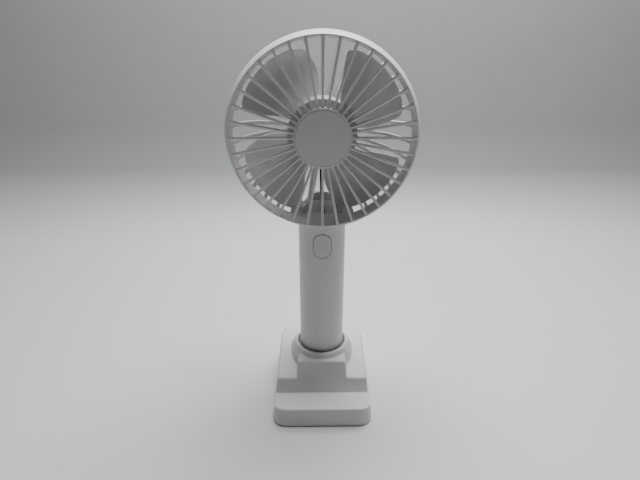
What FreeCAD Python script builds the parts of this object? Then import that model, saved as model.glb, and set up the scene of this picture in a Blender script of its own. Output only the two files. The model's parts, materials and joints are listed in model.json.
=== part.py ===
import FreeCAD, Part
import math
import os

import Sketcher

# A handheld electric fan standing in its phone-stand base.
# Frame: millimetres, +Z up, front towards -Y, +X to the viewer's right. The origin is the centre
# of the base's footprint on the ground. The handle stands upright at y = axis_depth, and the
# head turns about a line along Y at z = head_height.

os.makedirs("parts", exist_ok=True)
doc = FreeCAD.newDocument("handheld_fan")

SIZES = (
    ("fit", "0.1", "clearance between fixed parts"),
    # the base
    ("base_width", "61.3", "footprint across"),
    ("base_length", "74", "footprint front to back"),
    ("base_draft", "5.8", "lean of the side walls, degrees"),
    ("base_rough", "40", "height of the block before its top is cut"),
    ("front_corner", "8", "footprint corner radius at the front"),
    ("rear_corner", "11", "footprint corner radius at the rear"),
    ("foot_lift", "0.5", "underside of the shell above the ground"),
    ("base_wall", "2.2", "wall of the base shell"),
    ("seat_height", "5.4", "lowest line of the phone seat"),
    ("seat_depth", "-13.7", "where shelf and backrest meet, from the centre"),
    ("shelf_fall", "18.8", "fall of the shelf towards the backrest, degrees"),
    ("back_lean", "20", "lean of the backrest, degrees"),
    ("step_height", "14.5", "top of the low part of the backrest"),
    ("step_depth", "=seat_depth + (step_height - seat_height)*tan(back_lean)", "its place"),
    ("panel_height", "25.2", "top of the raised middle panel"),
    ("panel_depth", "=seat_depth + (panel_height - seat_height)*tan(back_lean)", "its place"),
    ("panel_width", "31", "raised middle panel across"),
    ("plateau_slope", "16.5", "rise of the plateau towards the rear, degrees"),
    ("beyond", "60", "reach of a cut past the object"),
    ("shelf_end", "=seat_height + (beyond + seat_depth)*tan(shelf_fall)", "shelf line at -beyond"),
    ("plateau_end", "=step_height + (beyond - step_depth)*tan(plateau_slope)", "plateau at beyond"),
    ("base_half", "=base_width/2", "half the footprint"),
    ("base_front", "=-base_length/2", "front edge"),
    ("base_rear", "=base_length/2", "rear edge"),
    ("base_front_in", "=base_front + front_corner", "where the front corners start"),
    ("base_rear_in", "=base_rear - rear_corner", "where the rear corners start"),
    ("front_corner_side", "=base_half - front_corner", "where the front edge starts"),
    ("rear_corner_side", "=base_half - rear_corner", "where the rear edge starts"),
    ("root_depth", "-11", "foot of the panel, inside the wall"),
    ("root_height", "=seat_height + 5", "its height"),
    ("panel_rear", "0", "rear of the panel, inside the collar"),
    ("rear_lean", "=base_rear - base_rough*tan(base_draft)", "rear wall at the block's top"),
    ("base_round", "1.6", "rounding of the base's outer edges"),
    # the socket in the base
    ("axis_depth", "15", "handle axis from the centre"),
    ("socket_floor", "4", "floor the pad lies on"),
    ("socket_skin", "1.6", "floor and wall of the socket cup"),
    ("socket_gap", "0.2", "clearance round the handle"),
    ("socket_bore", "=handle_radius + socket_gap", "snug part of the socket"),
    ("mouth_gap", "1.65", "clearance round the handle at the rim"),
    ("socket_mouth", "=handle_radius + mouth_gap", "wide mouth of the socket"),
    ("mouth_bottom", "19", "where the mouth starts to widen"),
    ("mouth_ledge", "21", "where it is fully wide"),
    ("collar_top", "27.9", "rim of the collar"),
    ("collar_lip", "2", "width of the rim"),
    ("collar_outer", "=socket_mouth + collar_lip", "outer radius of the rim"),
    ("collar_flare", "24.4", "flare of the collar, degrees from upright"),
    ("collar_root", "15", "height the cone runs down to"),
    ("collar_foot", "=collar_outer + (collar_top - collar_root)*tan(collar_flare)", "its radius"),
    ("cup_outer", "=socket_bore + socket_skin", "outside of the socket cup"),
    ("cup_bottom", "=socket_floor - socket_skin", "underside of the cup"),
    ("cup_top", "23", "where the cup joins the collar"),
    ("pad_thick", "1", "soft pad under the handle"),
    ("pad_radius", "=handle_radius - socket_gap", "radius of the pad"),
    ("collar_foot_place", "=axis_depth + collar_foot", "the same in the side view"),
    ("collar_outer_place", "=axis_depth + collar_outer", "the same in the side view"),
    ("cup_place", "=axis_depth + cup_outer", "the same in the side view"),
    ("bore_place", "=axis_depth + socket_bore", "the same in the side view"),
    ("mouth_place", "=axis_depth + socket_mouth", "the same in the side view"),
    ("inner_front", "=base_front + base_wall", "hollow under the shelf"),
    ("inner_lip", "=seat_height - base_wall*1.1 + (seat_depth - inner_front)*tan(shelf_fall)", "its roof"),
    ("inner_seat_depth", "=seat_depth + base_wall*0.6", "hollow below the seat line"),
    ("inner_seat", "=seat_height - base_wall*1.1", "its roof"),
    ("inner_step", "=step_height - base_wall*1.1", "roof below the step"),
    ("inner_step_depth", "=step_depth + base_wall", "its place"),
    ("inner_rear", "=base_rear - base_wall*2.2", "rear of the hollow"),
    ("inner_plateau", "=inner_step + (inner_rear - inner_step_depth)*tan(plateau_slope)", "its roof"),
    ("inner_width", "=base_width - base_wall*3.6", "hollow across"),
    # under the base
    ("plate_thick", "1.5", "bottom plate"),
    ("plate_gap", "0.2", "clearance round the plate"),
    ("plate_low", "0.7", "underside of the plate"),
    ("plate_top", "=plate_low + plate_thick", "top of the plate"),
    ("foot_radius", "4", "rubber foot"),
    ("foot_sink", "0.3", "depth of the foot's recess"),
    ("foot_side", "21.5", "feet from the middle line"),
    ("foot_front", "-27.5", "front feet"),
    ("foot_rear", "27", "rear feet"),
    ("base_screw_side_front", "11", "front screws from the middle line"),
    ("base_screw_front", "-31", "front screws"),
    ("base_screw_side_rear", "24", "rear screws from the middle line"),
    ("base_screw_rear", "8", "rear screws"),
    ("boss_radius", "2.8", "screw boss"),
    ("boss_front", "7", "length of the front bosses"),
    ("boss_rear", "16", "length of the rear bosses"),
    ("screw_bite", "5.6", "depth of a screw hole"),
    ("base_screw_radius", "1.1", "thread of a base screw"),
    ("base_screw_head", "2.1", "head radius"),
    ("base_screw_head_thick", "1", "head height"),
    ("base_screw_length", "6", "under the head"),
    ("plate_half", "=base_half - base_wall - 1.8 - plate_gap", "half the plate"),
    ("plate_front", "=inner_front + plate_gap", "front edge"),
    ("plate_rear", "=inner_rear - plate_gap", "rear edge"),
    ("plate_corner", "3", "corner radius"),
    ("plate_front_in", "=plate_front + plate_corner", "where its corners start"),
    ("plate_rear_in", "=plate_rear - plate_corner", "where its corners start"),
    ("plate_corner_side", "=plate_half - plate_corner", "where its corners start"),
    ("foot_recess", "=foot_radius + fit", "radius of the recess"),
    ("foot_thick", "=plate_low + foot_sink", "thickness of a foot"),
    ("base_screw_hole", "=base_screw_radius + fit", "hole in the plate"),
    ("base_screw_sink", "=base_screw_head + fit", "recess for the head"),
    ("head_sink", "0.8", "its depth"),
    ("base_screw_low", "=plate_low + head_sink - base_screw_head_thick", "underside of the head"),
    # the handle
    ("handle_radius", "14.35", "outside of the handle"),
    ("handle_wall", "1.8", "its wall"),
    ("handle_bore", "=handle_radius - handle_wall", "inside of the handle"),
    ("handle_foot", "=socket_floor + pad_thick", "lowest point of the handle"),
    ("cap_flange", "2", "visible height of the end cap"),
    ("cap_skirt", "5", "part inside the tube"),
    ("cap_wall", "1.4", "skirt wall"),
    ("cap_round", "0.8", "rounding at the very end"),
    ("tube_foot", "=handle_foot + cap_flange", "lower end of the tube"),
    ("tube_drop", "34", "upper end of the tube before the head is cut in, below its centre"),
    ("tube_rough", "=head_height - tube_drop", "the same from the ground"),
    ("cap_face", "=handle_radius - cap_round", "flat of the end"),
    ("cap_shoulder", "=handle_foot + cap_round", "where the side starts"),
    ("cap_top", "=tube_foot + cap_skirt", "top of the skirt"),
    ("cap_inner", "=handle_bore - fit - cap_wall", "inside of the skirt"),
    # the button
    ("button_height", "103.8", "centre of the button"),
    ("button_width", "10.9", "across"),
    ("button_tall", "15.4", "upright"),
    ("button_gap", "0.3", "gap round the button"),
    ("button_proud", "0.15", "how far it stands out"),
    ("button_flange", "1.2", "flange behind the wall"),
    ("button_flange_thick", "0.8", "its thickness"),
    ("button_stem", "2", "radius of the stem behind it"),
    ("slot_half_width", "=button_width/2 + button_gap", "slot in the handle"),
    ("cap_half", "=button_width/2", "half the cap"),
    ("cap_flat", "=(button_tall - button_width)/2", "centres of its round ends"),
    ("slot_low", "=button_height - cap_flat", "slot's lower end, its centre"),
    ("slot_high", "=button_height + cap_flat", "slot's upper end, its centre"),
    ("flange_half", "=cap_half + button_flange", "half the flange"),
    ("flange_front", "=sqrt(handle_bore^2 - flange_half^2) - fit", "front of the flange, from the axis"),
    ("flange_back", "=flange_front - button_flange_thick", "rear of the flange"),
    ("button_face", "=handle_radius + button_proud", "radius of the button's face"),
    ("button_rough", "6", "cap before its face is turned"),
    ("stem_long", "=flange_back - (axis_depth - plunger_front)", "stem down to the plunger"),
    # the head
    ("head_height", "168", "centre of the head"),
    ("guard_front", "-1", "plane of the ribs' front edges"),
    ("rim_radius", "53.3", "largest radius of the guard"),
    ("rim_widest", "7", "where it is reached"),
    ("rim_front", "50.9", "outer radius at the front"),
    ("rim_inner", "50", "inner radius at the front"),
    ("rim_swell", "=rim_radius - rim_front", "rise of the bulge"),
    ("rim_run", "=rim_widest - guard_front", "its length"),
    ("rim_bulge", "=(rim_run^2 + rim_swell^2)/(2*rim_swell)", "arc that ends along the axis"),
    ("seam_depth", "9.5", "where guard and rear shell meet"),
    ("seam_gap", "0.1", "gap at the seam"),
    ("guard_back", "=seam_depth - seam_gap", "rear edge of the guard"),
    ("lip_depth", "6.4", "front edge of the rear shell's lip"),
    ("lip_outer", "51.5", "outer radius of the lip"),
    ("rebate_radius", "=lip_outer + fit", "rebate in the guard"),
    ("rebate_depth", "=lip_depth - fit", "floor of the rebate"),
    ("throat", "49.3", "inner radius behind the ribs"),
    ("rib_count", "36", "ribs of the front guard"),
    ("rib_width", "1.3", "rib across"),
    ("rib_outer_depth", "2.4", "rib front to back at the rim"),
    ("rib_inner_depth", "4.2", "rib front to back at the disc"),
    ("rib_outer_back", "=guard_front + rib_outer_depth", "rear edge at the rim"),
    ("rib_inner_back", "=guard_front + rib_inner_depth", "rear edge at the disc"),
    ("disc_radius", "15.9", "centre disc"),
    ("disc_front", "-2", "front of the disc"),
    ("disc_thick", "2", "its thickness"),
    ("disc_back", "=disc_front + disc_thick", "rear of the disc"),
    ("badge_radius", "14.9", "badge plate"),
    ("badge_sink", "0.9", "depth of its recess"),
    ("badge_seat", "=disc_front + badge_sink", "floor of the recess"),
    ("badge_recess", "=badge_radius + fit", "radius of the recess"),
    ("badge_front", "-2.1", "front of the badge"),
    # the rear shell
    ("shell_wall", "2", "thickness of the rear ribs"),
    ("rear_rib_count", "34", "ribs of the rear grille"),
    ("rear_rib_width", "2.2", "rib across"),
    ("bowl_a_radius", "48.5", "bowl, inside, station a"),
    ("bowl_a_depth", "11", "its depth"),
    ("bowl_b_radius", "46.5", "station b"),
    ("bowl_b_depth", "17", "its depth"),
    ("bowl_c_radius", "38", "station c"),
    ("bowl_c_depth", "27.2", "its depth"),
    ("bowl_d_radius", "24", "station d"),
    ("bowl_d_depth", "31", "its depth"),
    ("bowl_floor", "31.5", "depth of the inside of the rear disc"),
    ("bowl_back", "=bowl_floor + shell_wall", "depth of the outside"),
    ("bowl_turn", "19.4", "arc radius between b and c"),
    ("shell_turn", "=bowl_turn + shell_wall", "the same outside"),
    ("band_back", "12", "rear edge of the shell's ring"),
    ("band_mid", "=band_back - 1", "rib's root in the ring"),
    ("band_outer", "51.8", "outside of the ring's rear edge"),
    ("band_inner", "50.4", "inside of the ring's rear edge"),
    ("band_core", "51", "rib's root in the ring"),
    ("outer_a_radius", "=bowl_b_radius + shell_wall*cos(bowl_b_tilt)", "outside of station b"),
    ("outer_a_depth", "=bowl_b_depth + shell_wall*sin(bowl_b_tilt)", "its depth"),
    ("bowl_b_tilt", "24", "lean of the wall at station b, degrees"),
    ("outer_b_radius", "=bowl_c_radius + shell_wall*cos(bowl_c_tilt)", "outside of station c"),
    ("outer_b_depth", "=bowl_c_depth + shell_wall*sin(bowl_c_tilt)", "its depth"),
    ("bowl_c_tilt", "64", "lean at station c, degrees"),
    ("outer_c_depth", "=bowl_d_depth + shell_wall", "outside of station d"),
    ("rear_rib_half", "=rear_rib_width/2", "half a rib"),
    ("rear_rib_end", "=rear_disc - rib_root", "inner end of the ribs"),
    ("rib_half", "=rib_width/2", "half a front rib"),
    ("rib_start", "=disc_radius - 0.6", "inner end of a front rib"),
    ("rib_end", "=rim_inner + 0.4", "outer end of a front rib"),
    ("disc_round", "0.8", "rounding of the disc"),
    ("disc_edge", "=disc_radius - disc_round", "flat of the disc"),
    ("disc_shoulder", "=disc_front + disc_round", "where its side starts"),
    ("disc_skirt", "=disc_radius - 1.4", "inside of the disc's skirt"),
    ("badge_round", "0.5", "rounding of the badge"),
    ("badge_edge", "=badge_radius - badge_round", "flat of the badge"),
    ("badge_shoulder", "=badge_front + badge_round", "where its side starts"),
    ("neck_a_depth", "18.5", "outside of the neck panel, station a"),
    ("neck_a_radius", "51.4", "its radius"),
    ("neck_b_depth", "24.8", "station b"),
    ("neck_b_radius", "44.3", "its radius"),
    ("neck_top_depth", "23", "inside of the panel's top edge"),
    ("neck_step_back", "17.9", "rear of the step at the end of the trough"),
    ("neck_step_radius", "48.4", "its radius"),
    ("scoop_front", "=rim_radius + fit", "handle's scoop under the rim"),
    ("scoop_bulge", "=rim_bulge + fit", "its arc under the rim's bulge"),
    ("scoop_face", "=rim_radius - rim_bulge + sqrt(scoop_bulge^2 - rim_run^2)", "its front end"),
    ("scoop_neck_a", "=neck_a_radius + fit", "under the neck panel"),
    ("scoop_neck_b", "=neck_b_radius + fit", "under the neck panel"),
    ("scoop_b", "=outer_b_radius + fit*2", "under the bowl"),
    ("spigot_long", "=head_height - bowl_c_radius - spigot_low", "height of the half ring"),
    ("neck_screw_side", "5", "neck screws from the middle line"),
    ("neck_screw_below", "53", "their distance below the head's centre"),
    ("neck_screw_height", "=head_height - neck_screw_below", "their height"),
    ("neck_screw_radius", "0.8", "thread"),
    ("neck_screw_bore", "=neck_screw_radius", "hole in the spigot"),
    ("neck_screw_long", "3", "under the head"),
    ("neck_screw_head", "1.6", "head"),
    ("neck_screw_head_thick", "1", "head"),
    ("neck_screw_hole", "=neck_screw_head + fit", "hole in the tube"),
    ("neck_screw_reach", "=neck_screw_side - neck_screw_head", "inner edge of the heads"),
    ("neck_screw_seat", "=sqrt(spigot_outer^2 - neck_screw_reach^2)", "spigot's outside there"),
    ("neck_screw_face", "=axis_depth + neck_screw_seat + neck_screw_head_thick", "face of the heads"),
    ("disc_margin", "1.8", "rear disc beyond the motor cup"),
    ("rear_disc", "=motor_cup_outer + disc_margin", "radius of the rear disc"),
    ("rib_root", "1", "reach of the rear ribs into the rear disc"),
    ("neck_half", "18", "half the width of the neck panel"),
    ("neck_half_turn", "21.4", "half the angle of the neck panel, degrees"),
    ("neck_turn", "=neck_half_turn*2", "whole angle"),
    ("neck_top", "42.8", "top edge of the neck panel below the head's centre"),
    ("neck_step", "17.3", "depth where the trough ends"),
    ("spigot_wall", "2.2", "half ring that enters the handle"),
    ("spigot_outer", "=handle_bore - fit", "its outside"),
    ("spigot_inner", "=spigot_outer - spigot_wall", "its inside"),
    ("spigot_drop", "61", "lower end of the spigot below the head's centre"),
    ("spigot_low", "=head_height - spigot_drop", "the same from the ground"),
    ("slot_half", "1.5", "half width of the lead's slot"),
    ("slot_side", "1.2", "slot from the middle line"),
    # the motor
    ("can_radius", "12", "motor can"),
    ("can_wall", "1", "its wall"),
    ("can_front", "14.5", "front of the can"),
    ("can_back", "28.6", "rear edge of the can"),
    ("nose_radius", "3.1", "boss round the front bush"),
    ("nose_front", "13.4", "front of that boss"),
    ("bush_radius", "2.2", "sintered bush"),
    ("bush_thick", "2.6", "its length"),
    ("shaft_radius", "1", "motor shaft"),
    ("shaft_play", "0.03", "running clearance of the shaft"),
    ("shaft_front", "9.9", "front end of the shaft"),
    ("shaft_back", "29.2", "rear end of the shaft"),
    ("bell_back", "30.2", "rear face of the end bell"),
    ("bell_core", "=rear_bush_front_end + fit", "floor of the rear bush's seat"),
    ("bell_radius", "=can_radius - can_wall - fit/2", "radius of the end bell"),
    ("nose_bore", "=bush_radius", "seat of the front bush"),
    ("nose_front_end", "=nose_front + bush_thick", "rear of the front bush"),
    ("rear_bush_front", "26.7", "front of the rear bush"),
    ("rear_bush_front_end", "=rear_bush_front + bush_thick", "rear of the rear bush"),
    ("bush_bore", "=shaft_radius + shaft_play", "bore of a bush"),
    ("can_inner", "=can_radius - can_wall", "inside of the can"),
    ("can_front_in", "=can_front + can_wall", "inside of its front"),
    ("notch_front", "28.4", "front of the lead's notch in the motor cup"),
    ("bell_front", "26.6", "front face of the end bell"),
    ("magnet_thick", "1.7", "magnet"),
    ("magnet_half", "62", "half the angle of a magnet, degrees"),
    ("magnet_front", "16.4", "front of the magnets"),
    ("magnet_back", "25.8", "rear of the magnets"),
    ("air_gap", "0.4", "between magnets and rotor"),
    ("core_front", "17.4", "front of the laminations"),
    ("core_back", "23", "rear of the laminations"),
    ("core_long", "=core_back - core_front", "length of the stack"),
    ("core_outer", "=can_inner - magnet_thick - air_gap", "radius of the rotor"),
    ("core_hub", "3", "radius of its hub"),
    ("pole_count", "3", "poles of the rotor"),
    ("arm_half", "1.2", "half an arm"),
    ("arm_root", "2", "root of an arm"),
    ("shoe_x", "6.2", "half a pole shoe"),
    ("shoe_z", "=sqrt(core_outer^2 - shoe_x^2)", "height of the shoe's corner"),
    ("shoe_low", "=shoe_z - 0.9", "underside of the shoe"),
    ("coil_half", "2.2", "half a coil"),
    ("coil_low", "3.2", "inner end of a coil"),
    ("coil_high", "=shoe_low - fit", "outer end of a coil"),
    ("coil_proud", "1", "coil beyond the stack"),
    ("coil_long", "=core_long + coil_proud*2", "length of a coil"),
    ("magnet_outer", "=can_inner - fit/2", "outside of a magnet"),
    ("magnet_inner", "=magnet_outer - magnet_thick", "inside of a magnet"),
    ("magnet_out_x", "=magnet_outer*cos(magnet_half)", "outer corner"),
    ("magnet_out_z", "=magnet_outer*sin(magnet_half)", "outer corner"),
    ("magnet_in_x", "=magnet_inner*cos(magnet_half)", "inner corner"),
    ("magnet_in_z", "=magnet_inner*sin(magnet_half)", "inner corner"),
    ("magnet_long", "=magnet_back - magnet_front", "length of a magnet"),
    ("commutator_radius", "2.4", "commutator"),
    ("commutator_front", "24.2", "its front"),
    ("commutator_back", "26.4", "its rear"),
    ("brush_front", "24.5", "front of the brushes"),
    ("brush_long", "1.6", "brush along the shaft"),
    ("brush_wide", "3", "brush towards the shaft"),
    ("brush_tall", "1.8", "brush upright"),
    ("terminal_side", "3", "terminals from the middle line"),
    ("terminal_wide", "2", "terminal"),
    ("terminal_long", "1", "terminal"),
    ("terminal_thick", "0.4", "terminal"),
    ("terminal_drop", "7", "terminals below the motor's axis"),
    ("cup_wall", "1.6", "motor cup in the rear shell"),
    ("cup_front", "23.4", "front edge of the motor cup"),
    ("motor_cup_inner", "=can_radius + fit", "inside of the cup"),
    ("motor_cup_outer", "=motor_cup_inner + cup_wall", "outside of the cup"),
    # the impeller
    ("hub_radius", "19.6", "hub cup"),
    ("hub_wall", "1.5", "its wall"),
    ("hub_front", "9", "front of the hub"),
    ("hub_back", "23", "rear of the hub"),
    ("hub_round", "3", "rounding of its front edge"),
    ("hub_boss", "4", "boss on the shaft"),
    ("hub_inner", "=hub_radius - hub_wall", "inside of the hub"),
    ("hub_floor", "=hub_front + hub_wall", "inside of its front"),
    ("hub_shoulder", "=hub_front + hub_round", "where its side starts"),
    ("hub_face", "=hub_radius - hub_round", "flat of its front"),
    ("boss_end", "=nose_front - 0.3", "rear of the boss"),
    ("blade_count", "4", "blades"),
    ("blade_root", "=hub_radius - hub_wall/2", "root radius, inside the hub's wall"),
    ("blade_tip", "47.5", "tip radius"),
    ("blade_low", "=blade_root - 3", "inner edge of the sheet a blade is cut from"),
    ("blade_high", "=blade_tip + 2", "its outer edge"),
    ("blade_thick", "1.3", "measured along the axis"),
    ("blade_trail", "9.6", "depth of the trailing edge"),
    # inside the handle
    ("cell_radius", "9.15", "rechargeable cell"),
    ("cell_length", "65", "its length"),
    ("cell_foot", "14.5", "its lower end"),
    ("cell_top", "=cell_foot + cell_length", "its upper end"),
    ("cell_button", "1", "height of the positive cap"),
    ("cell_shoulder", "=cell_top - cell_button", "where the cap starts"),
    ("cell_neck", "3.8", "radius of the cap"),
    ("tab_long", "14.6", "nickel tab"),
    ("tab_end", "10.4", "its outer end from the middle line"),
    ("tab_wide", "6", "nickel tab"),
    ("tab_thick", "0.2", "nickel tab"),
    ("tab_low", "=cell_foot - tab_thick", "place of the lower tab"),
    ("upper_tab_top", "=cell_top + tab_thick", "top of the upper tab"),
    ("wire_radius", "0.6", "battery lead"),
    ("wire_hole", "=wire_radius + fit", "hole in the cross wall"),
    ("wire_depth", "-1.6", "leads from the handle axis"),
    ("wire_side", "9.95", "leads from the middle line"),
    ("wire_end", "=upper_shelf + shelf_thick + 2", "upper end of the leads"),
    ("carrier_wall", "1.4", "inner carrier"),
    ("carrier_outer", "=handle_bore - fit", "its outside"),
    ("carrier_inner", "=carrier_outer - carrier_wall", "its inside"),
    ("carrier_foot", "12.6", "lower end of the carrier"),
    ("carrier_top", "106", "upper end of the carrier"),
    ("web_offset", "=axis_depth - board_front - board_thick", "front of the web, from the axis"),
    ("carrier_open", "=-web_offset", "front edge of the carrier from the handle axis"),
    ("carrier_edge", "=sqrt(carrier_outer^2 - carrier_open^2)", "its outer corners"),
    ("carrier_edge_in", "=sqrt(carrier_inner^2 - carrier_open^2)", "its inner corners"),
    ("carrier_tall", "=carrier_top - carrier_foot", "its height"),
    ("web_half", "=carrier_edge - carrier_wall/2", "half the web"),
    ("shelf_thick", "1.2", "cross walls of the carrier"),
    ("upper_shelf", "81", "cross wall above the cell"),
    ("board_front", "10.2", "front face of the control board"),
    ("board_thick", "1.2", "both boards"),
    ("board_width", "19", "control board"),
    ("board_half", "=board_width/2", "half of it"),
    ("board_low", "84", "lower edge"),
    ("board_tall", "28", "upright"),
    ("switch_side", "6", "square body of the switch"),
    ("switch_deep", "3", "depth of its body"),
    ("switch_half", "=switch_side/2", "half of it"),
    ("plunger_hole", "=plunger_radius + fit", "hole for the plunger"),
    ("plunger_well", "2.2", "its depth"),
    ("plunger_front", "=board_front - switch_deep - plunger_proud", "front of the plunger"),
    ("plunger_proud", "0.9", "how far it stands out"),
    ("plunger_long", "2.4", "its length"),
    ("led_wide", "1.6", "indicator light"),
    ("led_deep", "0.8", "indicator light"),
    ("led_tall", "0.8", "indicator light"),
    ("led_rise", "25.5", "above the board's lower edge"),
    ("board_screw_side", "8", "board screws from the middle line"),
    ("board_screw_rise", "86.2", "their height"),
    ("board_screw_up", "=board_screw_rise - board_low", "the same above the board's edge"),
    ("board_screw_radius", "0.7", "thread"),
    ("board_screw_head", "1.3", "head"),
    ("board_screw_head_thick", "0.6", "head"),
    ("board_screw_long", "2.2", "under the head"),
    ("board_screw_hole", "=board_screw_radius", "hole in the web"),
    ("plunger_radius", "1.6", "plunger"),
    ("charge_wide", "13", "charging board"),
    ("charge_tall", "15", "charging board"),
    ("port_face", "=axis_depth + handle_radius - port_sink", "mouth of the port"),
    ("port_long", "7.3", "depth of the port"),
    ("port_open", "6.6", "its hollow"),
    ("port_width", "8.94", "charging port across"),
    ("port_thick", "3.26", "its other way"),
    ("port_height", "92", "its centre"),
    ("port_sink", "0.4", "below the handle's surface"),
    ("port_wall", "0.3", "sheet of the port's shell"),
    ("port_half", "=port_thick/2", "outer half thickness"),
    ("port_half_in", "=port_half - port_wall", "inner half thickness"),
    ("port_flat_in", "=port_width/2 - port_half", "centres of its round ends"),
    ("port_slot_gap", "0.25", "clearance round the port"),
    ("port_flat", "=port_flat_in", "slot in the handle"),
    ("port_slot_round", "=port_half + port_slot_gap", "its half height"),
    ("port_slot_low", "=port_height - port_slot_round", "lower edge"),
    ("port_slot_high", "=port_height + port_slot_round", "upper edge"),
    ("port_clear", "=charge_wide/2 + fit", "opening in the carrier"),
    ("port_low_clear", "=port_height - charge_tall/2 - fit", "its lower edge"),
    ("port_high_clear", "=port_height + charge_tall/2 + fit", "its upper edge"),
    ("tongue_wide", "6.6", "tongue of the port"),
    ("tongue_long", "5.4", "its length"),
    ("tongue_thick", "0.7", "its thickness"),
    ("lead_radius", "0.8", "motor lead"),
)

sheet = doc.addObject("Spreadsheet::Sheet", "dim")
for row, (alias, cell, meaning) in enumerate(SIZES, start=1):
    sheet.set(f"A{row}", alias)
    sheet.set(f"B{row}", cell)
    sheet.set(f"C{row}", meaning)
    sheet.setAlias(f"B{row}", alias)
doc.recompute()


def size(name):
    """Value of a sheet cell; a leading minus turns its sign and a number stands for itself."""
    if not isinstance(name, str):
        return float(name)
    if name.startswith("-"):
        return -float(sheet.get(name[1:]))
    return float(sheet.get(name))


def bind(item, prop, expression):
    """Tie a property to the sheet; words of the expression are cell aliases."""
    if isinstance(expression, (int, float)):
        item.setExpression(prop, str(expression))
        return
    words = expression.replace("(", "( ").replace(")", " )").replace("*", " * ").split(" ")
    known = {alias for alias, _, _ in SIZES}
    tied = ["dim." + word if word in known else word for word in words]
    tied = ["-dim." + word[1:] if word.startswith("-") and word[1:] in known else word for word in tied]
    item.setExpression(prop, " ".join(tied))


def stand(item, across=0, deep=0, high=0):
    """Bind the place of an item."""
    bind(item, "Placement.Base.x", across)
    bind(item, "Placement.Base.y", deep)
    bind(item, "Placement.Base.z", high)


# ---------------------------------------------------------------- bodies, sketches and features


def make_body(label, deep=0, high=0):
    """Empty body whose origin stands at (0, deep, high)."""
    body = doc.addObject("PartDesign::Body", label)
    body.Label = label
    body.AllowCompound = True
    stand(body, 0, deep, high)
    return body


def datum(body, role):
    """Origin plane or axis of a body."""
    return next(item for item in body.Origin.OriginFeatures if item.Role == role)


def sketch_on(body, role, lift=0):
    """Sketch on an origin plane, moved along the plane's normal by lift."""
    sketch = body.newObject("Sketcher::SketchObject", "sketch")
    sketch.AttachmentSupport = [(datum(body, role), "")]
    sketch.MapMode = "FlatFace"
    bind(sketch, "AttachmentOffset.Base.z", lift)
    return sketch


def pin_point(sketch, edge, end, across, up):
    """Fix one end of an edge at two sheet values."""
    for kind, value in (("DistanceX", across), ("DistanceY", up)):
        index = sketch.addConstraint(Sketcher.Constraint(kind, -1, 1, edge, end, size(value)))
        bind(sketch, f"Constraints[{index}]", value)


def arc_between(start, finish, radius, turn):
    """Arc of the given radius from start to finish: turn +1 is anticlockwise, -1 clockwise,
    and +2 or -2 is the long way round."""
    chord = finish - start
    half = chord.Length / 2
    height = math.sqrt(max(radius * radius - half * half, 0))
    left = FreeCAD.Vector(-chord.y, chord.x, 0).normalize()
    side = 1 if turn in (1, -2) else -1
    centre = (start + finish) * 0.5 + left * (side * height)
    first, last = (start, finish) if turn > 0 else (finish, start)
    circle = Part.Circle(centre, FreeCAD.Vector(0, 0, 1), radius)
    begin = math.atan2(first.y - centre.y, first.x - centre.x)
    end = math.atan2(last.y - centre.y, last.x - centre.x)
    return Part.ArcOfCircle(circle, begin, end)


def outline(sketch, points, arcs=None):
    """Closed outline through points; arcs maps the number of an edge to (radius, turn)."""
    arcs = arcs or {}
    places = [FreeCAD.Vector(size(across), size(up), 0) for across, up in points]
    count = len(places)
    edges = []
    for number, start in enumerate(places):
        finish = places[(number + 1) % count]
        if number in arcs:
            radius, turn = arcs[number]
            edge = sketch.addGeometry(arc_between(start, finish, size(radius), turn))
            edges.append((edge, 1, 2) if turn > 0 else (edge, 2, 1))
        else:
            edge = sketch.addGeometry(Part.LineSegment(start, finish))
            edges.append((edge, 1, 2))
    for number, (edge, start_end, finish_end) in enumerate(edges):
        following, next_start, _ = edges[(number + 1) % count]
        sketch.addConstraint(Sketcher.Constraint("Coincident", edge, finish_end, following, next_start))
        pin_point(sketch, edge, start_end, *points[number])
        if number in arcs:
            pin_arc(sketch, edge, arcs[number][0], points[number], places[number],
                    places[(number + 1) % count])


def pin_arc(sketch, edge, radius, point, start, finish):
    """Fix an arc whose ends are fixed: by its radius, or a half circle by its centre."""
    chord = finish - start
    if abs(chord.Length / 2 - size(radius)) > 1e-6:
        kind, value = "Radius", radius
        index = sketch.addConstraint(Sketcher.Constraint(kind, edge, size(value)))
    else:
        kind, value = ("DistanceX", point[0]) if abs(chord.x) < abs(chord.y) else ("DistanceY", point[1])
        index = sketch.addConstraint(Sketcher.Constraint(kind, -1, 1, edge, 3, size(value)))
    bind(sketch, f"Constraints[{index}]", value)


def ring(sketch, radius, across=0, up=0):
    """Circle of a sheet radius."""
    centre = FreeCAD.Vector(size(across), size(up), 0)
    edge = sketch.addGeometry(Part.Circle(centre, FreeCAD.Vector(0, 0, 1), size(radius)))
    pin_point(sketch, edge, 3, across, up)
    index = sketch.addConstraint(Sketcher.Constraint("Radius", edge, size(radius)))
    bind(sketch, f"Constraints[{index}]", radius)


def rectangle(sketch, left, low, right, high):
    """Upright rectangle between sheet values."""
    outline(sketch, [(left, low), (right, low), (right, high), (left, high)])


def volume_before(body):
    """Volume of the body so far."""
    doc.recompute()
    return body.Shape.Volume if body.Tip else 0.0


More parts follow.
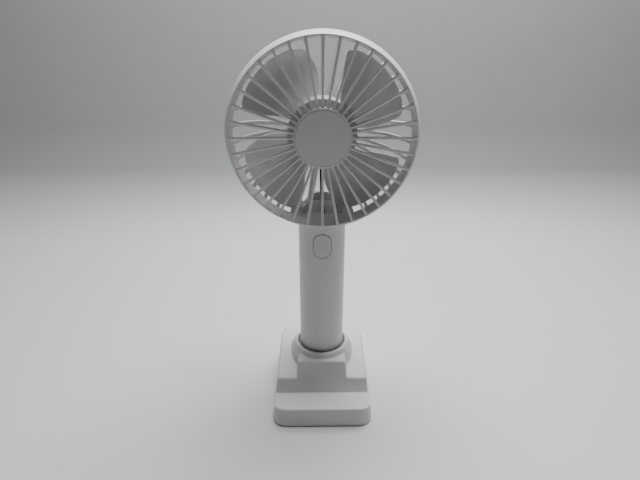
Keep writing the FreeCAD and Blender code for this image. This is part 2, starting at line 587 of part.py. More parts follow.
def feature(body, kind, sketch, **settings):
    """Add a feature made from a sketch and check that it adds or cuts material."""
    before = volume_before(body)
    item = body.newObject("PartDesign::" + kind, kind.lower())
    item.Profile = sketch
    for name, value in settings.items():
        if name in ("Length", "Length2", "Angle", "TaperAngle") and isinstance(value, str):
            bind(item, name, value)
        elif name == "axis":
            item.ReferenceAxis = (sketch, [value])
        else:
            setattr(item, name, value)
    doc.recompute()
    change = body.Shape.Volume - before
    grows = kind in ("Pad", "Revolution", "AdditivePipe")
    if change == 0 or (change > 0) != grows:
        raise RuntimeError(f"{body.Label}: {item.Name} changed the volume by {change:.3f}")
    return item


def pattern(body, items, count, axis="Y_Axis"):
    """Repeat features evenly round an origin axis of the body."""
    before = volume_before(body)
    item = body.newObject("PartDesign::PolarPattern", "pattern")
    item.Originals = items
    item.Axis = (datum(body, axis), [""])
    item.Angle = 360
    bind(item, "Occurrences", count)
    body.Tip = item
    doc.recompute()
    if abs(body.Shape.Volume - before) < 1e-6:
        raise RuntimeError(f"{body.Label}: the pattern changed nothing")
    return item


def soften(body, radius, chosen):
    """Fillet the edges that chosen(edge) accepts; radius is a sheet value."""
    doc.recompute()
    base = body.Tip
    names = [f"Edge{number}" for number, edge in enumerate(base.Shape.Edges, start=1) if chosen(edge)]
    if not names:
        raise RuntimeError(f"{body.Label}: no edge to round")
    item = body.newObject("PartDesign::Fillet", "round")
    item.Base = (base, names)
    bind(item, "Radius", radius)
    doc.recompute()
    return item


def turned(label, points, arcs=None, deep=0, high=0, plane="XY_Plane"):
    """Body of revolution. On XY_Plane points are (radius, depth) about the body's Y axis, and on
    XZ_Plane they are (radius, height) about its Z axis."""
    body = make_body(label, deep, high)
    sketch = sketch_on(body, plane)
    outline(sketch, points, arcs)
    feature(body, "Revolution", sketch, axis="V_Axis", Angle=360)
    return body


def box(label, width, deep, tall, across, front, low):
    """Block with its lowest corner at (across, front, low)."""
    item = doc.addObject("Part::Box", label)
    item.Label = label
    bind(item, "Length", width)
    bind(item, "Width", deep)
    bind(item, "Height", tall)
    stand(item, across, front, low)
    return item


ALONG_Y = FreeCAD.Rotation(FreeCAD.Vector(1, 0, 0), -90)


def rod(label, radius, length, across, deep, high, along_depth=False):
    """Cylinder from its lower, or front, centre."""
    item = doc.addObject("Part::Cylinder", label)
    item.Label = label
    bind(item, "Radius", radius)
    bind(item, "Height", length)
    if along_depth:
        item.Placement = FreeCAD.Placement(FreeCAD.Vector(), ALONG_Y)
    stand(item, across, deep, high)
    return item


def group(label, items):
    """Several separate solids in one node."""
    item = doc.addObject("Part::Compound", label)
    item.Label = label
    item.Links = items
    return item


# ---------------------------------------------------------------- the base


def turn_line(sketch, across):
    """Upright construction line, the sketch's Axis0, to turn a profile about."""
    line = Part.LineSegment(FreeCAD.Vector(size(across), 0, 0), FreeCAD.Vector(size(across), 10, 0))
    edge = sketch.addGeometry(line, True)
    sketch.addConstraint(Sketcher.Constraint("Vertical", edge))
    pin_point(sketch, edge, 1, across, 0)
    sketch.addConstraint(Sketcher.Constraint("DistanceY", edge, 1, edge, 2, 10))


def rounded_plan(sketch, half, front, rear, front_corner, rear_corner):
    """Rectangle with rounded corners; each value has an inner mate named value_in."""
    outline(sketch, [
        ("-" + half, front + "_in"), (f"-{front_corner}_side", front), (f"{front_corner}_side", front),
        (half, front + "_in"), (half, rear + "_in"), (f"{rear_corner}_side", rear),
        (f"-{rear_corner}_side", rear), ("-" + half, rear + "_in"),
    ], {0: (front_corner, 1), 2: (front_corner, 1), 4: (rear_corner, 1), 6: (rear_corner, 1)})


def base_shell():
    """Shell with a phone shelf, a T-shaped backrest, a rising plateau and a collared socket."""
    body = make_body("base_shell")
    foot = sketch_on(body, "XY_Plane", "foot_lift")
    rounded_plan(foot, "base_half", "base_front", "base_rear", "front_corner", "rear_corner")
    feature(body, "Pad", foot, Length="base_rough", TaperAngle="-base_draft")
    top = sketch_on(body, "YZ_Plane")
    outline(top, [
        ("-beyond", "shelf_end"), ("seat_depth", "seat_height"), ("step_depth", "step_height"),
        ("beyond", "plateau_end"), ("beyond", "beyond"), ("-beyond", "beyond"),
    ])
    feature(body, "Pocket", top, Type="ThroughAll", Midplane=True)
    seat_line = size("seat_height")

    def outer_edge(edge):
        """Edges above the ground, but not the seat line where the shelf meets the backrest."""
        return edge.BoundBox.ZMin > size("foot_lift") + 1 and edge.BoundBox.ZMax > seat_line + 1
    soften(body, "base_round", outer_edge)
    panel = sketch_on(body, "YZ_Plane")
    outline(panel, [
        ("root_depth", "root_height"), ("panel_rear", "root_height"), ("panel_rear", "panel_height"),
        ("panel_depth", "panel_height"),
    ])
    feature(body, "Pad", panel, Length="panel_width", Midplane=True)
    doc.recompute()
    collar = sketch_on(body, "YZ_Plane")
    outline(collar, [
        ("axis_depth", "collar_root"), ("collar_foot_place", "collar_root"),
        ("collar_outer_place", "collar_top"), ("axis_depth", "collar_top"),
    ])
    turn_line(collar, "axis_depth")
    feature(body, "Revolution", collar, axis="Axis0", Angle=360)
    rear = sketch_on(body, "YZ_Plane")
    outline(rear, [
        ("base_rear", 0), ("rear_lean", "base_rough"), ("beyond", "base_rough"), ("beyond", 0),
    ])
    feature(body, "Pocket", rear, Type="ThroughAll", Midplane=True)
    hollow = sketch_on(body, "YZ_Plane")
    outline(hollow, [
        ("inner_front", 0), ("inner_front", "inner_lip"), ("inner_seat_depth", "inner_seat"),
        ("inner_step_depth", "inner_step"), ("inner_rear", "inner_plateau"), ("inner_rear", 0),
    ])
    feature(body, "Pocket", hollow, Length="inner_width", Midplane=True)
    cup = sketch_on(body, "YZ_Plane")
    outline(cup, [
        ("axis_depth", "cup_bottom"), ("cup_place", "cup_bottom"), ("cup_place", "cup_top"),
        ("axis_depth", "cup_top"),
    ])
    turn_line(cup, "axis_depth")
    feature(body, "Revolution", cup, axis="Axis0", Angle=360)
    bore = sketch_on(body, "YZ_Plane")
    outline(bore, [
        ("axis_depth", "socket_floor"), ("bore_place", "socket_floor"), ("bore_place", "mouth_bottom"),
        ("mouth_place", "mouth_ledge"), ("mouth_place", "base_rough"), ("axis_depth", "base_rough"),
    ])
    turn_line(bore, "axis_depth")
    feature(body, "Groove", bore, axis="Axis0", Angle=360)
    for side, place, top_of in (("base_screw_side_front", "base_screw_front", "boss_front"),
                                ("base_screw_side_rear", "base_screw_rear", "boss_rear")):
        for sign in ("", "-"):
            boss = sketch_on(body, "XY_Plane", "plate_top")
            ring(boss, "boss_radius", sign + side, place)
            feature(body, "Pad", boss, Length=top_of)
            hole = sketch_on(body, "XY_Plane", "plate_top")
            ring(hole, "base_screw_radius", sign + side, place)
            feature(body, "Pocket", hole, Length="screw_bite", Reversed=True)
    return body


def base_underside():
    """Bottom plate, its screws, the rubber feet and the soft pad in the socket."""
    plate = make_body("base_bottom_plate")
    plan = sketch_on(plate, "XY_Plane", "plate_low")
    rounded_plan(plan, "plate_half", "plate_front", "plate_rear", "plate_corner", "plate_corner")
    feature(plate, "Pad", plan, Length="plate_thick")
    feet, screws = [], []
    places = [("foot_side", "foot_front"), ("foot_side", "foot_rear")]
    for side, place in places:
        for sign in ("", "-"):
            recess = sketch_on(plate, "XY_Plane", "plate_low")
            ring(recess, "foot_recess", sign + side, place)
            feature(plate, "Pocket", recess, Length="foot_sink", Reversed=True)
            feet.append(rod("foot", "foot_radius", "foot_thick", sign + side, place, 0))
    for side, place in (("base_screw_side_front", "base_screw_front"),
                        ("base_screw_side_rear", "base_screw_rear")):
        for sign in ("", "-"):
            hole = sketch_on(plate, "XY_Plane", "plate_low")
            ring(hole, "base_screw_hole", sign + side, place)
            feature(plate, "Pocket", hole, Length="plate_thick", Reversed=True)
            sink = sketch_on(plate, "XY_Plane", "plate_low")
            ring(sink, "base_screw_sink", sign + side, place)
            feature(plate, "Pocket", sink, Length="head_sink", Reversed=True)
            screws.append(screw("base_screw", "base_screw_radius", "base_screw_length",
                                "base_screw_head", "base_screw_head_thick",
                                (sign + side, place, "base_screw_low"), FreeCAD.Rotation()))
    group("base_feet", feet)
    group("base_screws", screws)
    rod("socket_pad", "pad_radius", "pad_thick", 0, "axis_depth", "socket_floor")


# a screw's cross recess, as shares of its head's radius and thickness
CROSS_WIDE, CROSS_LONG, CROSS_DEEP = 0.3, 1.2, 0.6


def screw(label, radius, length, head_radius, head_thick, place, rotation):
    """Pan-head screw from the outer face of its head, with a cross recess."""
    length_all = size(length) + size(head_thick)
    shank = Part.makeCylinder(size(radius), length_all)
    head = Part.makeCylinder(size(head_radius), size(head_thick))
    solid = shank.fuse(head).removeSplitter()
    slot, reach = size(head_radius) * CROSS_WIDE, size(head_radius) * CROSS_LONG
    deep = size(head_thick) * CROSS_DEEP
    for turn in (0, 90):
        bar = Part.makeBox(reach, slot, deep, FreeCAD.Vector(-reach / 2, -slot / 2, 0))
        bar.rotate(FreeCAD.Vector(), FreeCAD.Vector(0, 0, 1), turn)
        solid = solid.cut(bar)
    item = doc.addObject("Part::Feature", label)
    item.Shape = solid
    item.Placement = FreeCAD.Placement(FreeCAD.Vector(), rotation)
    stand(item, *place)
    return item


# ---------------------------------------------------------------- the handle


def stadium(sketch, half, low, high):
    """Upright slot with round ends; low and high are the centres of its ends."""
    outline(sketch, [("-" + half, low), (half, low), (half, high), ("-" + half, high)],
            {0: (half, 1), 2: (half, 1)})


def pill(sketch, flat, low, high, radius):
    """Flat-lying slot with round ends."""
    outline(sketch, [("-" + flat, low), (flat, low), (flat, high), ("-" + flat, high)],
            {1: (radius, 1), 3: (radius, 1)})


def head_envelope(body, deep, high):
    """Cut the head's round outside, less a fit, out of a body that stands under it."""
    scoop = sketch_on(body, "YZ_Plane")
    bind(scoop, "AttachmentOffset.Base.x", deep)
    bind(scoop, "AttachmentOffset.Base.y", high)
    outline(scoop, [
        ("-beyond", 0), ("-beyond", "-scoop_face"), ("guard_front", "-scoop_face"),
        ("rim_widest", "-scoop_front"), ("seam_depth", "-scoop_front"),
        ("neck_a_depth", "-scoop_neck_a"), ("neck_b_depth", "-scoop_neck_b"),
        ("outer_b_depth", "-scoop_b"), ("beyond", "-scoop_b"), ("beyond", 0),
    ], {2: ("scoop_bulge", 1)})
    feature(body, "Groove", scoop, axis="H_Axis", Angle=360)


def handle_tube():
    """Round tube whose top is scooped to the back of the head."""
    body = turned("handle_tube", [
        ("handle_bore", "tube_foot"), ("handle_radius", "tube_foot"), ("handle_radius", "tube_rough"),
        ("handle_bore", "tube_rough"),
    ], None, "axis_depth", 0, "XZ_Plane")
    head_envelope(body, "-axis_depth", "head_height")
    slot = sketch_on(body, "XZ_Plane")
    stadium(slot, "slot_half_width", "slot_low", "slot_high")
    feature(body, "Pocket", slot, Length="beyond", Reversed=True)
    port = sketch_on(body, "XZ_Plane")
    pill(port, "port_flat", "port_slot_low", "port_slot_high", "port_slot_round")
    feature(body, "Pocket", port, Length="beyond")
    for sign in ("", "-"):
        hole = sketch_on(body, "XZ_Plane")
        ring(hole, "neck_screw_hole", sign + "neck_screw_side", "neck_screw_height")
        feature(body, "Pocket", hole, Length="beyond")
    return body


def end_cap():
    """Cap that closes the lower end of the tube."""
    turned("handle_end_cap", [
        (0, "handle_foot"), ("cap_face", "handle_foot"), ("handle_radius", "cap_shoulder"),
        ("handle_radius", "tube_foot"), ("carrier_outer", "tube_foot"), ("carrier_outer", "cap_top"),
        ("cap_inner", "cap_top"), ("cap_inner", "tube_foot"), (0, "tube_foot"),
    ], {1: ("cap_round", 1)}, "axis_depth", 0, "XZ_Plane")


def inner_carrier():
    """Open-fronted tray for the cell, with a web that the control board is screwed to."""
    body = make_body("inner_carrier", "axis_depth")
    shell = sketch_on(body, "XY_Plane", "carrier_foot")
    outline(shell, [
        ("carrier_edge", "carrier_open"), ("-carrier_edge", "carrier_open"),
        ("-carrier_edge_in", "carrier_open"), ("carrier_edge_in", "carrier_open"),
    ], {0: ("carrier_outer", 2), 2: ("carrier_inner", -2)})
    feature(body, "Pad", shell, Length="carrier_tall")
    for height in ("carrier_foot", "upper_shelf"):
        shelf = sketch_on(body, "XY_Plane", height)
        outline(shelf, [("carrier_edge", "carrier_open"), ("-carrier_edge", "carrier_open")],
                {0: ("carrier_outer", 2)})
        feature(body, "Pad", shelf, Length="shelf_thick")
    web = sketch_on(body, "XZ_Plane", "web_offset")
    rectangle(web, "-web_half", "upper_shelf", "web_half", "carrier_top")
    feature(body, "Pad", web, Length="board_thick", Reversed=True)
    port = sketch_on(body, "XZ_Plane")
    rectangle(port, "-port_clear", "port_low_clear", "port_clear", "port_high_clear")
    feature(body, "Pocket", port, Length="handle_radius")
    for sign in ("", "-"):
        hole = sketch_on(body, "XZ_Plane", "web_offset")
        ring(hole, "board_screw_hole", sign + "board_screw_side", "board_screw_rise")
        feature(body, "Pocket", hole, Length="board_thick")
    for sign in ("", "-"):
        pass_hole = sketch_on(body, "XY_Plane", "upper_shelf")
        ring(pass_hole, "wire_hole", sign + "wire_side", "wire_depth")
        feature(body, "Pocket", pass_hole, Length="shelf_thick", Reversed=True)
    return body


def cell_and_wires():
    """Rechargeable cell, its nickel tabs and the two wires up to the control board."""
    turned("battery_cell", [
        (0, "cell_foot"), ("cell_radius", "cell_foot"), ("cell_radius", "cell_shoulder"),
        ("cell_neck", "cell_shoulder"), ("cell_neck", "cell_top"), (0, "cell_top"),
    ], None, "axis_depth", 0, "XZ_Plane")
    group("battery_tabs", [
        box("tab", "tab_long", "tab_wide", "tab_thick", side, "axis_depth - tab_wide / 2", place)
        for side, place in (("tab_end - tab_long", "tab_low"), ("-tab_end", "cell_top"))
    ])
    group("battery_leads", [
        rod("lead", "wire_radius", f"wire_end - {start}", side, "axis_depth + wire_depth", start)
        for side, start in (("wire_side", "cell_foot"), ("-wire_side", "upper_tab_top"))
    ])


def power_button():
    """Stadium cap flush with the handle, with a flange behind the wall and a stem."""
    body = make_body("power_button", "axis_depth", "button_height")
    flange = sketch_on(body, "XZ_Plane", "flange_back")
    stadium(flange, "flange_half", "-cap_flat", "cap_flat")
    feature(body, "Pad", flange, Length="button_flange_thick")
    cap = sketch_on(body, "XZ_Plane", "flange_back")
    stadium(cap, "cap_half", "-cap_flat", "cap_flat")
    feature(body, "Pad", cap, Length="button_rough")
    trim = sketch_on(body, "XZ_Plane")
    rectangle(trim, "button_face", "-button_tall", "beyond", "button_tall")
    feature(body, "Groove", trim, axis="V_Axis", Angle=360)
    stem = sketch_on(body, "XZ_Plane", "flange_back")
    ring(stem, "button_stem")
    feature(body, "Pad", stem, Length="stem_long", Reversed=True)


def control_boards():
    """Control board with its parts and switch."""
    board = make_body("control_board", "board_front", "board_low")
    plan = sketch_on(board, "XZ_Plane")
    rectangle(plan, "-board_half", 0, "board_half", "board_tall")
    for side in ("board_screw_side", "-board_screw_side"):
        ring(plan, "board_screw_hole", side, "board_screw_up")
    feature(board, "Pad", plan, Length="board_thick", Reversed=True)
    group("board_chips", [
        box("chip", wide, deep, tall, across, f"board_front - {deep}", f"board_low + {rise}")
        for wide, deep, tall, across, rise in BOARD_CHIPS
    ])
    box("indicator_led", "led_wide", "led_deep", "led_tall", "-led_wide / 2", "board_front - led_deep",
        "board_low + led_rise")
    switch = make_body("tact_switch", "board_front", "button_height")
    square = sketch_on(switch, "XZ_Plane")
    rectangle(square, "-switch_half", "-switch_half", "switch_half", "switch_half")
    feature(switch, "Pad", square, Length="switch_deep")
    well = sketch_on(switch, "XZ_Plane", "switch_deep")
    ring(well, "plunger_hole")
    feature(switch, "Pocket", well, Length="plunger_well")
    rod("tact_plunger", "plunger_radius", "plunger_long", 0, "plunger_front", "button_height", True)
    group("board_screws", [
        screw("board_screw", "board_screw_radius", "board_screw_long", "board_screw_head",
              "board_screw_head_thick", (side, "board_front - board_screw_head_thick", "board_screw_rise"),
              ALONG_Y)
        for side in ("board_screw_side", "-board_screw_side")
    ])


# width, depth and height of each part on the control board, its left edge from the middle line
# and its lower edge above the board's
BOARD_CHIPS = (
    (4.9, 1.5, 3.9, -6.5, 5.0), (3.0, 1.1, 3.0, 3.5, 5.0), (4.0, 2.0, 4.0, 3.0, 9.2),
    (1.6, 0.8, 0.8, -0.8, 5.2), (1.6, 0.8, 0.8, -0.8, 7.2), (1.6, 0.8, 0.8, -6.5, 10.2),
    (1.6, 0.8, 0.8, -3.8, 10.2), (6.0, 3.0, 3.6, -3.0, 0.4),
)


def charging():
    """Charging board and the port that opens at the back of the handle."""
    box("charge_board", "charge_wide", "board_thick", "charge_tall", "-charge_wide / 2",
        "port_face - port_long - board_thick", "port_height - charge_tall / 2")
    port = make_body("charge_port", "port_face", "port_height")
    for radius, kind in (("port_half", "Pad"), ("port_half_in", "Pocket")):
        shell = sketch_on(port, "XZ_Plane")
        pill(shell, "port_flat_in", "-" + radius, radius, radius)
        feature(port, kind, shell, Length="port_long" if kind == "Pad" else "port_open",
                Reversed=kind == "Pocket")
    box("port_tongue", "tongue_wide", "tongue_long", "tongue_thick", "-tongue_wide / 2",
        "port_face - port_open", "port_height - tongue_thick / 2")


# ---------------------------------------------------------------- the head


BOWL_INSIDE = [
    ("throat", "seam_depth"), ("bowl_a_radius", "bowl_a_depth"), ("bowl_b_radius", "bowl_b_depth"),
    ("bowl_c_radius", "bowl_c_depth"), ("bowl_d_radius", "bowl_d_depth"),
]
BOWL_OUTSIDE = [
    ("bowl_d_radius", "outer_c_depth"), ("outer_b_radius", "outer_b_depth"),
    ("outer_a_radius", "outer_a_depth"), ("band_outer", "band_back"),
]


def front_guard():
    """Ring with straight radial ribs and a centre disc with a recess for the badge."""
    body = make_body("front_guard", 0, "head_height")
    rim = sketch_on(body, "XY_Plane")
    outline(rim, [
        ("rim_inner", "guard_front"), ("rim_front", "guard_front"), ("rim_radius", "rim_widest"),
        ("rim_radius", "guard_back"), ("rebate_radius", "guard_back"),
        ("rebate_radius", "rebate_depth"), ("throat", "rebate_depth"),
    ], {1: ("rim_bulge", 1)})
    feature(body, "Revolution", rim, axis="V_Axis", Angle=360)
    rib = sketch_on(body, "XY_Plane", "-rib_half")
    outline(rib, [
        ("rib_start", "guard_front"), ("rib_end", "guard_front"), ("rib_end", "rib_outer_back"),
        ("rib_start", "rib_inner_back"),
    ])
    spoke = feature(body, "Pad", rib, Length="rib_width")
    pattern(body, [spoke], "rib_count")
    disc = sketch_on(body, "XY_Plane")
    outline(disc, [
        (0, "badge_seat"), ("badge_recess", "badge_seat"), ("badge_recess", "disc_front"),
        ("disc_edge", "disc_front"), ("disc_radius", "disc_shoulder"), ("disc_radius", "rib_inner_back"),
        ("disc_skirt", "rib_inner_back"), ("disc_skirt", "disc_back"), (0, "disc_back"),
    ], {3: ("disc_round", 1)})
    feature(body, "Revolution", disc, axis="V_Axis", Angle=360)
    turned("guard_badge", [
        (0, "badge_front"), ("badge_edge", "badge_front"), ("badge_radius", "badge_shoulder"),
        ("badge_radius", "badge_seat"), (0, "badge_seat"),
    ], {1: ("badge_round", 1)}, 0, "head_height")


def rear_grille():
    """Ring, bowl-shaped ribs, rear disc and motor cup of the rear shell."""
    body = make_body("rear_grille", 0, "head_height")
    band = sketch_on(body, "XY_Plane")
    outline(band, [
        ("throat", "lip_depth"), ("lip_outer", "lip_depth"), ("lip_outer", "seam_depth"),
        ("rim_radius", "seam_depth"), ("band_outer", "band_back"), ("band_inner", "band_back"),
        ("throat", "seam_depth"),
    ])
    feature(body, "Revolution", band, axis="V_Axis", Angle=360)
    rib = sketch_on(body, "XY_Plane", "-rear_rib_half")
    outline(rib, [
        ("band_core", "seam_depth"), *BOWL_INSIDE[1:], ("rear_rib_end", "bowl_floor"),
        ("rear_rib_end", "bowl_back"), *BOWL_OUTSIDE, ("band_core", "band_mid"),
    ], {2: ("bowl_turn", 1), 7: ("shell_turn", -1)})
    bar = feature(body, "Pad", rib, Length="rear_rib_width")
    pattern(body, [bar], "rear_rib_count")
    room = sketch_on(body, "XZ_Plane", "-seam_depth")
    rectangle(room, "-neck_half", "-beyond", "neck_half", "-neck_top")
    feature(body, "Pocket", room, Length="beyond")
    disc = sketch_on(body, "XY_Plane")
    outline(disc, [
        (0, "bowl_floor"), ("motor_cup_inner", "bowl_floor"), ("motor_cup_inner", "cup_front"),
        ("motor_cup_outer", "cup_front"), ("motor_cup_outer", "bowl_floor"),
        ("rear_disc", "bowl_floor"), ("rear_disc", "bowl_back"), (0, "bowl_back"),
    ])
    feature(body, "Revolution", disc, axis="V_Axis", Angle=360)
    notch = sketch_on(body, "XY_Plane")
    rectangle(notch, "-slot_half", "notch_front", "slot_half", "bowl_floor")
    feature(body, "Pocket", notch, Length="rear_disc")
    return body


def neck_panel():
    """Solid panel over the handle with the lead's slot, and the half ring that enters the tube."""
    body = make_body("neck_panel", 0, "head_height")
    panel = sketch_on(body, "YZ_Plane")
    outline(panel, [
        ("seam_depth", "-rim_radius"), ("neck_a_depth", "-neck_a_radius"),
        ("neck_b_depth", "-neck_b_radius"), ("neck_top_depth", "-neck_top"),
        ("neck_step_back", "-neck_step_radius"), ("neck_step", "-neck_step_radius"),
        ("neck_step", "-throat"), ("seam_depth", "-throat"),
    ])
    feature(body, "Revolution", panel, axis="H_Axis", Angle="neck_turn", Midplane=True)
    above = sketch_on(body, "XZ_Plane")
    rectangle(above, "-beyond", "-neck_top", "beyond", 0)
    feature(body, "Pocket", above, Length="beyond")
    spigot = sketch_on(body, "XY_Plane", "spigot_low - head_height")
    bind(spigot, "AttachmentOffset.Base.y", "axis_depth")
    outline(spigot, [("spigot_outer", 0), ("-spigot_outer", 0), ("-spigot_inner", 0), ("spigot_inner", 0)],
            {0: ("spigot_outer", 1), 2: ("spigot_inner", -1)})
    feature(body, "Pad", spigot, Length="spigot_long")
    inside = sketch_on(body, "YZ_Plane")
    outline(inside, [
        ("lip_depth", 0), ("lip_depth", "-throat"), ("neck_step", "-throat"),
        ("neck_step", "-neck_step_radius"), ("neck_step_back", "-neck_step_radius"),
        ("neck_top_depth", "-neck_top"), ("bowl_c_depth", "-bowl_c_radius"), ("bowl_c_depth", 0),
    ])
    feature(body, "Groove", inside, axis="H_Axis", Angle=360)
    slot = sketch_on(body, "XY_Plane", "-neck_top")
    bind(slot, "AttachmentOffset.Base.y", "neck_step")
    ring(slot, "slot_half", "slot_side")
    feature(body, "Pocket", slot, Length="neck_top")
    for sign in ("", "-"):
        hole = sketch_on(body, "XZ_Plane")
        ring(hole, "neck_screw_bore", sign + "neck_screw_side", "-neck_screw_below")
        feature(body, "Pocket", hole, Length="beyond")
    return body


def rear_shell():
    """Rear grille and neck panel as one moulding, and the screws that hold it to the tube."""
    item = doc.addObject("Part::Fuse", "rear_shell")
    item.Label = "rear_shell"
    item.Base = rear_grille()
    item.Tool = neck_panel()
    around = FreeCAD.Rotation(FreeCAD.Vector(1, 0, 0), 90)
    group("neck_screws", [
        screw("neck_screw", "neck_screw_radius", "neck_screw_long", "neck_screw_head",
              "neck_screw_head_thick", (side, "neck_screw_face", "neck_screw_height"), around)
        for side in ("neck_screw_side", "-neck_screw_side")
    ])


# ---------------------------------------------------------------- the motor and the impeller


def motor():
    """Brushed motor: can, bushes, magnets, end bell, brushes, terminals and the wound rotor."""
    turned("motor_can", [
        ("nose_bore", "nose_front"), ("nose_radius", "nose_front"), ("nose_radius", "can_front"),
        ("can_radius", "can_front"), ("can_radius", "can_back"), ("can_inner", "can_back"),
        ("can_inner", "can_front_in"), ("nose_bore", "can_front_in"),
    ], None, 0, "head_height")
    for label, front in (("front_bush", "nose_front"), ("rear_bush", "rear_bush_front")):
        turned(label, [
            ("bush_bore", front), ("bush_radius", front), ("bush_radius", front + "_end"),
            ("bush_bore", front + "_end"),
        ], None, 0, "head_height")
    turned("motor_end_bell", [
        (0, "bell_back"), (0, "bell_core"), ("bush_radius", "bell_core"), ("bush_radius", "bell_front"),
        ("bell_radius", "bell_front"), ("bell_radius", "bell_back"),
    ], None, 0, "head_height")
    magnets = make_body("motor_magnets", "magnet_front", "head_height")
    arc_plan = sketch_on(magnets, "XZ_Plane")
    for sign, turn in (("", 1), ("-", -1)):
        outline(arc_plan, [
            (sign + "magnet_out_x", "-magnet_out_z"), (sign + "magnet_out_x", "magnet_out_z"),
            (sign + "magnet_in_x", "magnet_in_z"), (sign + "magnet_in_x", "-magnet_in_z"),
        ], {0: ("magnet_outer", turn), 2: ("magnet_inner", -turn)})
    feature(magnets, "Pad", arc_plan, Length="magnet_long", Reversed=True)
    group("motor_brushes", [
        box("brush", "brush_wide", "brush_long", "brush_tall", side, "brush_front",
            "head_height - brush_tall / 2")
        for side in ("commutator_radius + shaft_play", "-commutator_radius - shaft_play - brush_wide")
    ])
    group("motor_terminals", [
        box("terminal", "terminal_wide", "terminal_long", "terminal_thick", side, "bell_back",
            "head_height - terminal_drop")
        for side in ("terminal_side", "-terminal_side - terminal_wide")
    ])
    rod("motor_shaft", "shaft_radius", "shaft_back - shaft_front", 0, "shaft_front", "head_height", True)
    turned("commutator", [
        ("shaft_radius", "commutator_front"), ("commutator_radius", "commutator_front"),
        ("commutator_radius", "commutator_back"), ("shaft_radius", "commutator_back"),
    ], None, 0, "head_height")
    rotor_core()


def rotor_core():
    """Three-pole lamination stack and the three coils wound on its arms."""
    body = make_body("rotor_core", "core_front", "head_height")
    hub = sketch_on(body, "XZ_Plane")
    ring(hub, "core_hub")
    ring(hub, "shaft_radius")
    feature(body, "Pad", hub, Length="core_long", Reversed=True)
    arm = sketch_on(body, "XZ_Plane")
    outline(arm, [
        ("-arm_half", "arm_root"), ("arm_half", "arm_root"), ("arm_half", "shoe_low"),
        ("shoe_x", "shoe_low"), ("shoe_x", "shoe_z"), ("-shoe_x", "shoe_z"), ("-shoe_x", "shoe_low"),
        ("-arm_half", "shoe_low"),
    ], {4: ("core_outer", 1)})
    pole = feature(body, "Pad", arm, Length="core_long", Reversed=True)
    pattern(body, [pole], "pole_count")
    coils = make_body("rotor_windings", "core_front", "head_height")
    wound = sketch_on(coils, "XZ_Plane", "coil_proud")
    rectangle(wound, "-coil_half", "coil_low", "coil_half", "coil_high")
    coil = feature(coils, "Pad", wound, Length="coil_long", Reversed=True)
    room = sketch_on(coils, "XZ_Plane")
    rectangle(room, "-arm_half", "coil_low", "arm_half", "coil_high")
    gap = feature(coils, "Pocket", room, Length="core_long")
    pattern(coils, [coil, gap], "pole_count")


# the blade's outline from hub to tip: radius, and the angles of its trailing and leading edges
# anticlockwise from +X, seen from the front; the root's and the tip's radii come from the sheet
BLADE_PLAN = (
    ("blade_root", 150, 93), (26, 157.5, 92), (33, 161.5, 94), (41, 162.5, 99), ("blade_tip", 159, 107),
)
# depth of the rear of the leading edge at rising radii
BLADE_BACKS = (("blade_low", 22.6), (26, 22.6), (33, 22.4), (40, 20.6), (44, 17.4), ("blade_high", 12.6))
# share of the climb from the trailing edge that the sheet has made at each angle
BLADE_CLIMB = ((170, -0.14), (152, 0.12), (134, 0.42), (116, 0.74), (100, 1.0), (84, 1.24))


def polar(radius, angle, depth=0.0):
    """Point at a radius and an angle anticlockwise from +X, seen from the front."""
    turn = math.radians(angle)
    return FreeCAD.Vector(radius * math.cos(turn), depth, radius * math.sin(turn))


def blade():
    """One blade: a sheet that climbs from its trailing to its leading edge, cut to its outline."""
    trailing = [polar(size(radius), trail) for radius, trail, _ in BLADE_PLAN]
    leading = [polar(size(radius), lead) for radius, _, lead in reversed(BLADE_PLAN)]
    curves = []
    for points in (trailing, leading):
        curve = Part.BSplineCurve()
        curve.interpolate(points)
        curves.append(curve.toShape())
    ends = []
    for radius, trail, lead in (BLADE_PLAN[-1], BLADE_PLAN[0]):
        reach = size(radius)
        arc = Part.Arc(polar(reach, trail), polar(reach, (trail + lead) / 2), polar(reach, lead))
        ends.append(arc.toShape())
    plan = Part.Face(Part.Wire([curves[0], ends[0], curves[1], ends[1]]))
    prism = plan.extrude(FreeCAD.Vector(0, size("beyond"), 0))
    rows = []
    for radius, back in BLADE_BACKS:
        climb = back - size("blade_thick") - size("blade_trail")
        rows.append([polar(size(radius), angle, size("blade_trail") + climb * share)
                     for angle, share in BLADE_CLIMB])
    middle = Part.BSplineSurface()
    middle.interpolate(rows)
    slab = middle.toShape().extrude(FreeCAD.Vector(0, size("blade_thick"), 0))
    return prism.common(slab)


def impeller():
    """Hub cup with its boss on the shaft, and four broad blades."""
    hub = turned("hub", [
        ("shaft_radius", "hub_floor"), ("shaft_radius", "boss_end"), ("hub_boss", "boss_end"),
        ("hub_boss", "hub_floor"), ("hub_inner", "hub_floor"), ("hub_inner", "hub_back"),
        ("hub_radius", "hub_back"), ("hub_radius", "hub_shoulder"), ("hub_face", "hub_front"),
        (0, "hub_front"), (0, "shaft_front"), ("shaft_radius", "shaft_front"),
    ], {7: ("hub_round", -1)}, 0, "head_height")
    blades = []
    one = blade()
    for number in range(round(size("blade_count"))):
        item = doc.addObject("Part::Feature", "blade")
        item.Shape = one
        turn = FreeCAD.Rotation(FreeCAD.Vector(0, 1, 0), number * 360 / size("blade_count"))
        item.Placement = FreeCAD.Placement(FreeCAD.Vector(), turn)
        stand(item, 0, 0, "head_height")
        blades.append(item)
    item = doc.addObject("Part::MultiFuse", "impeller")
    item.Label = "impeller"
    item.Shapes = [hub, *blades]


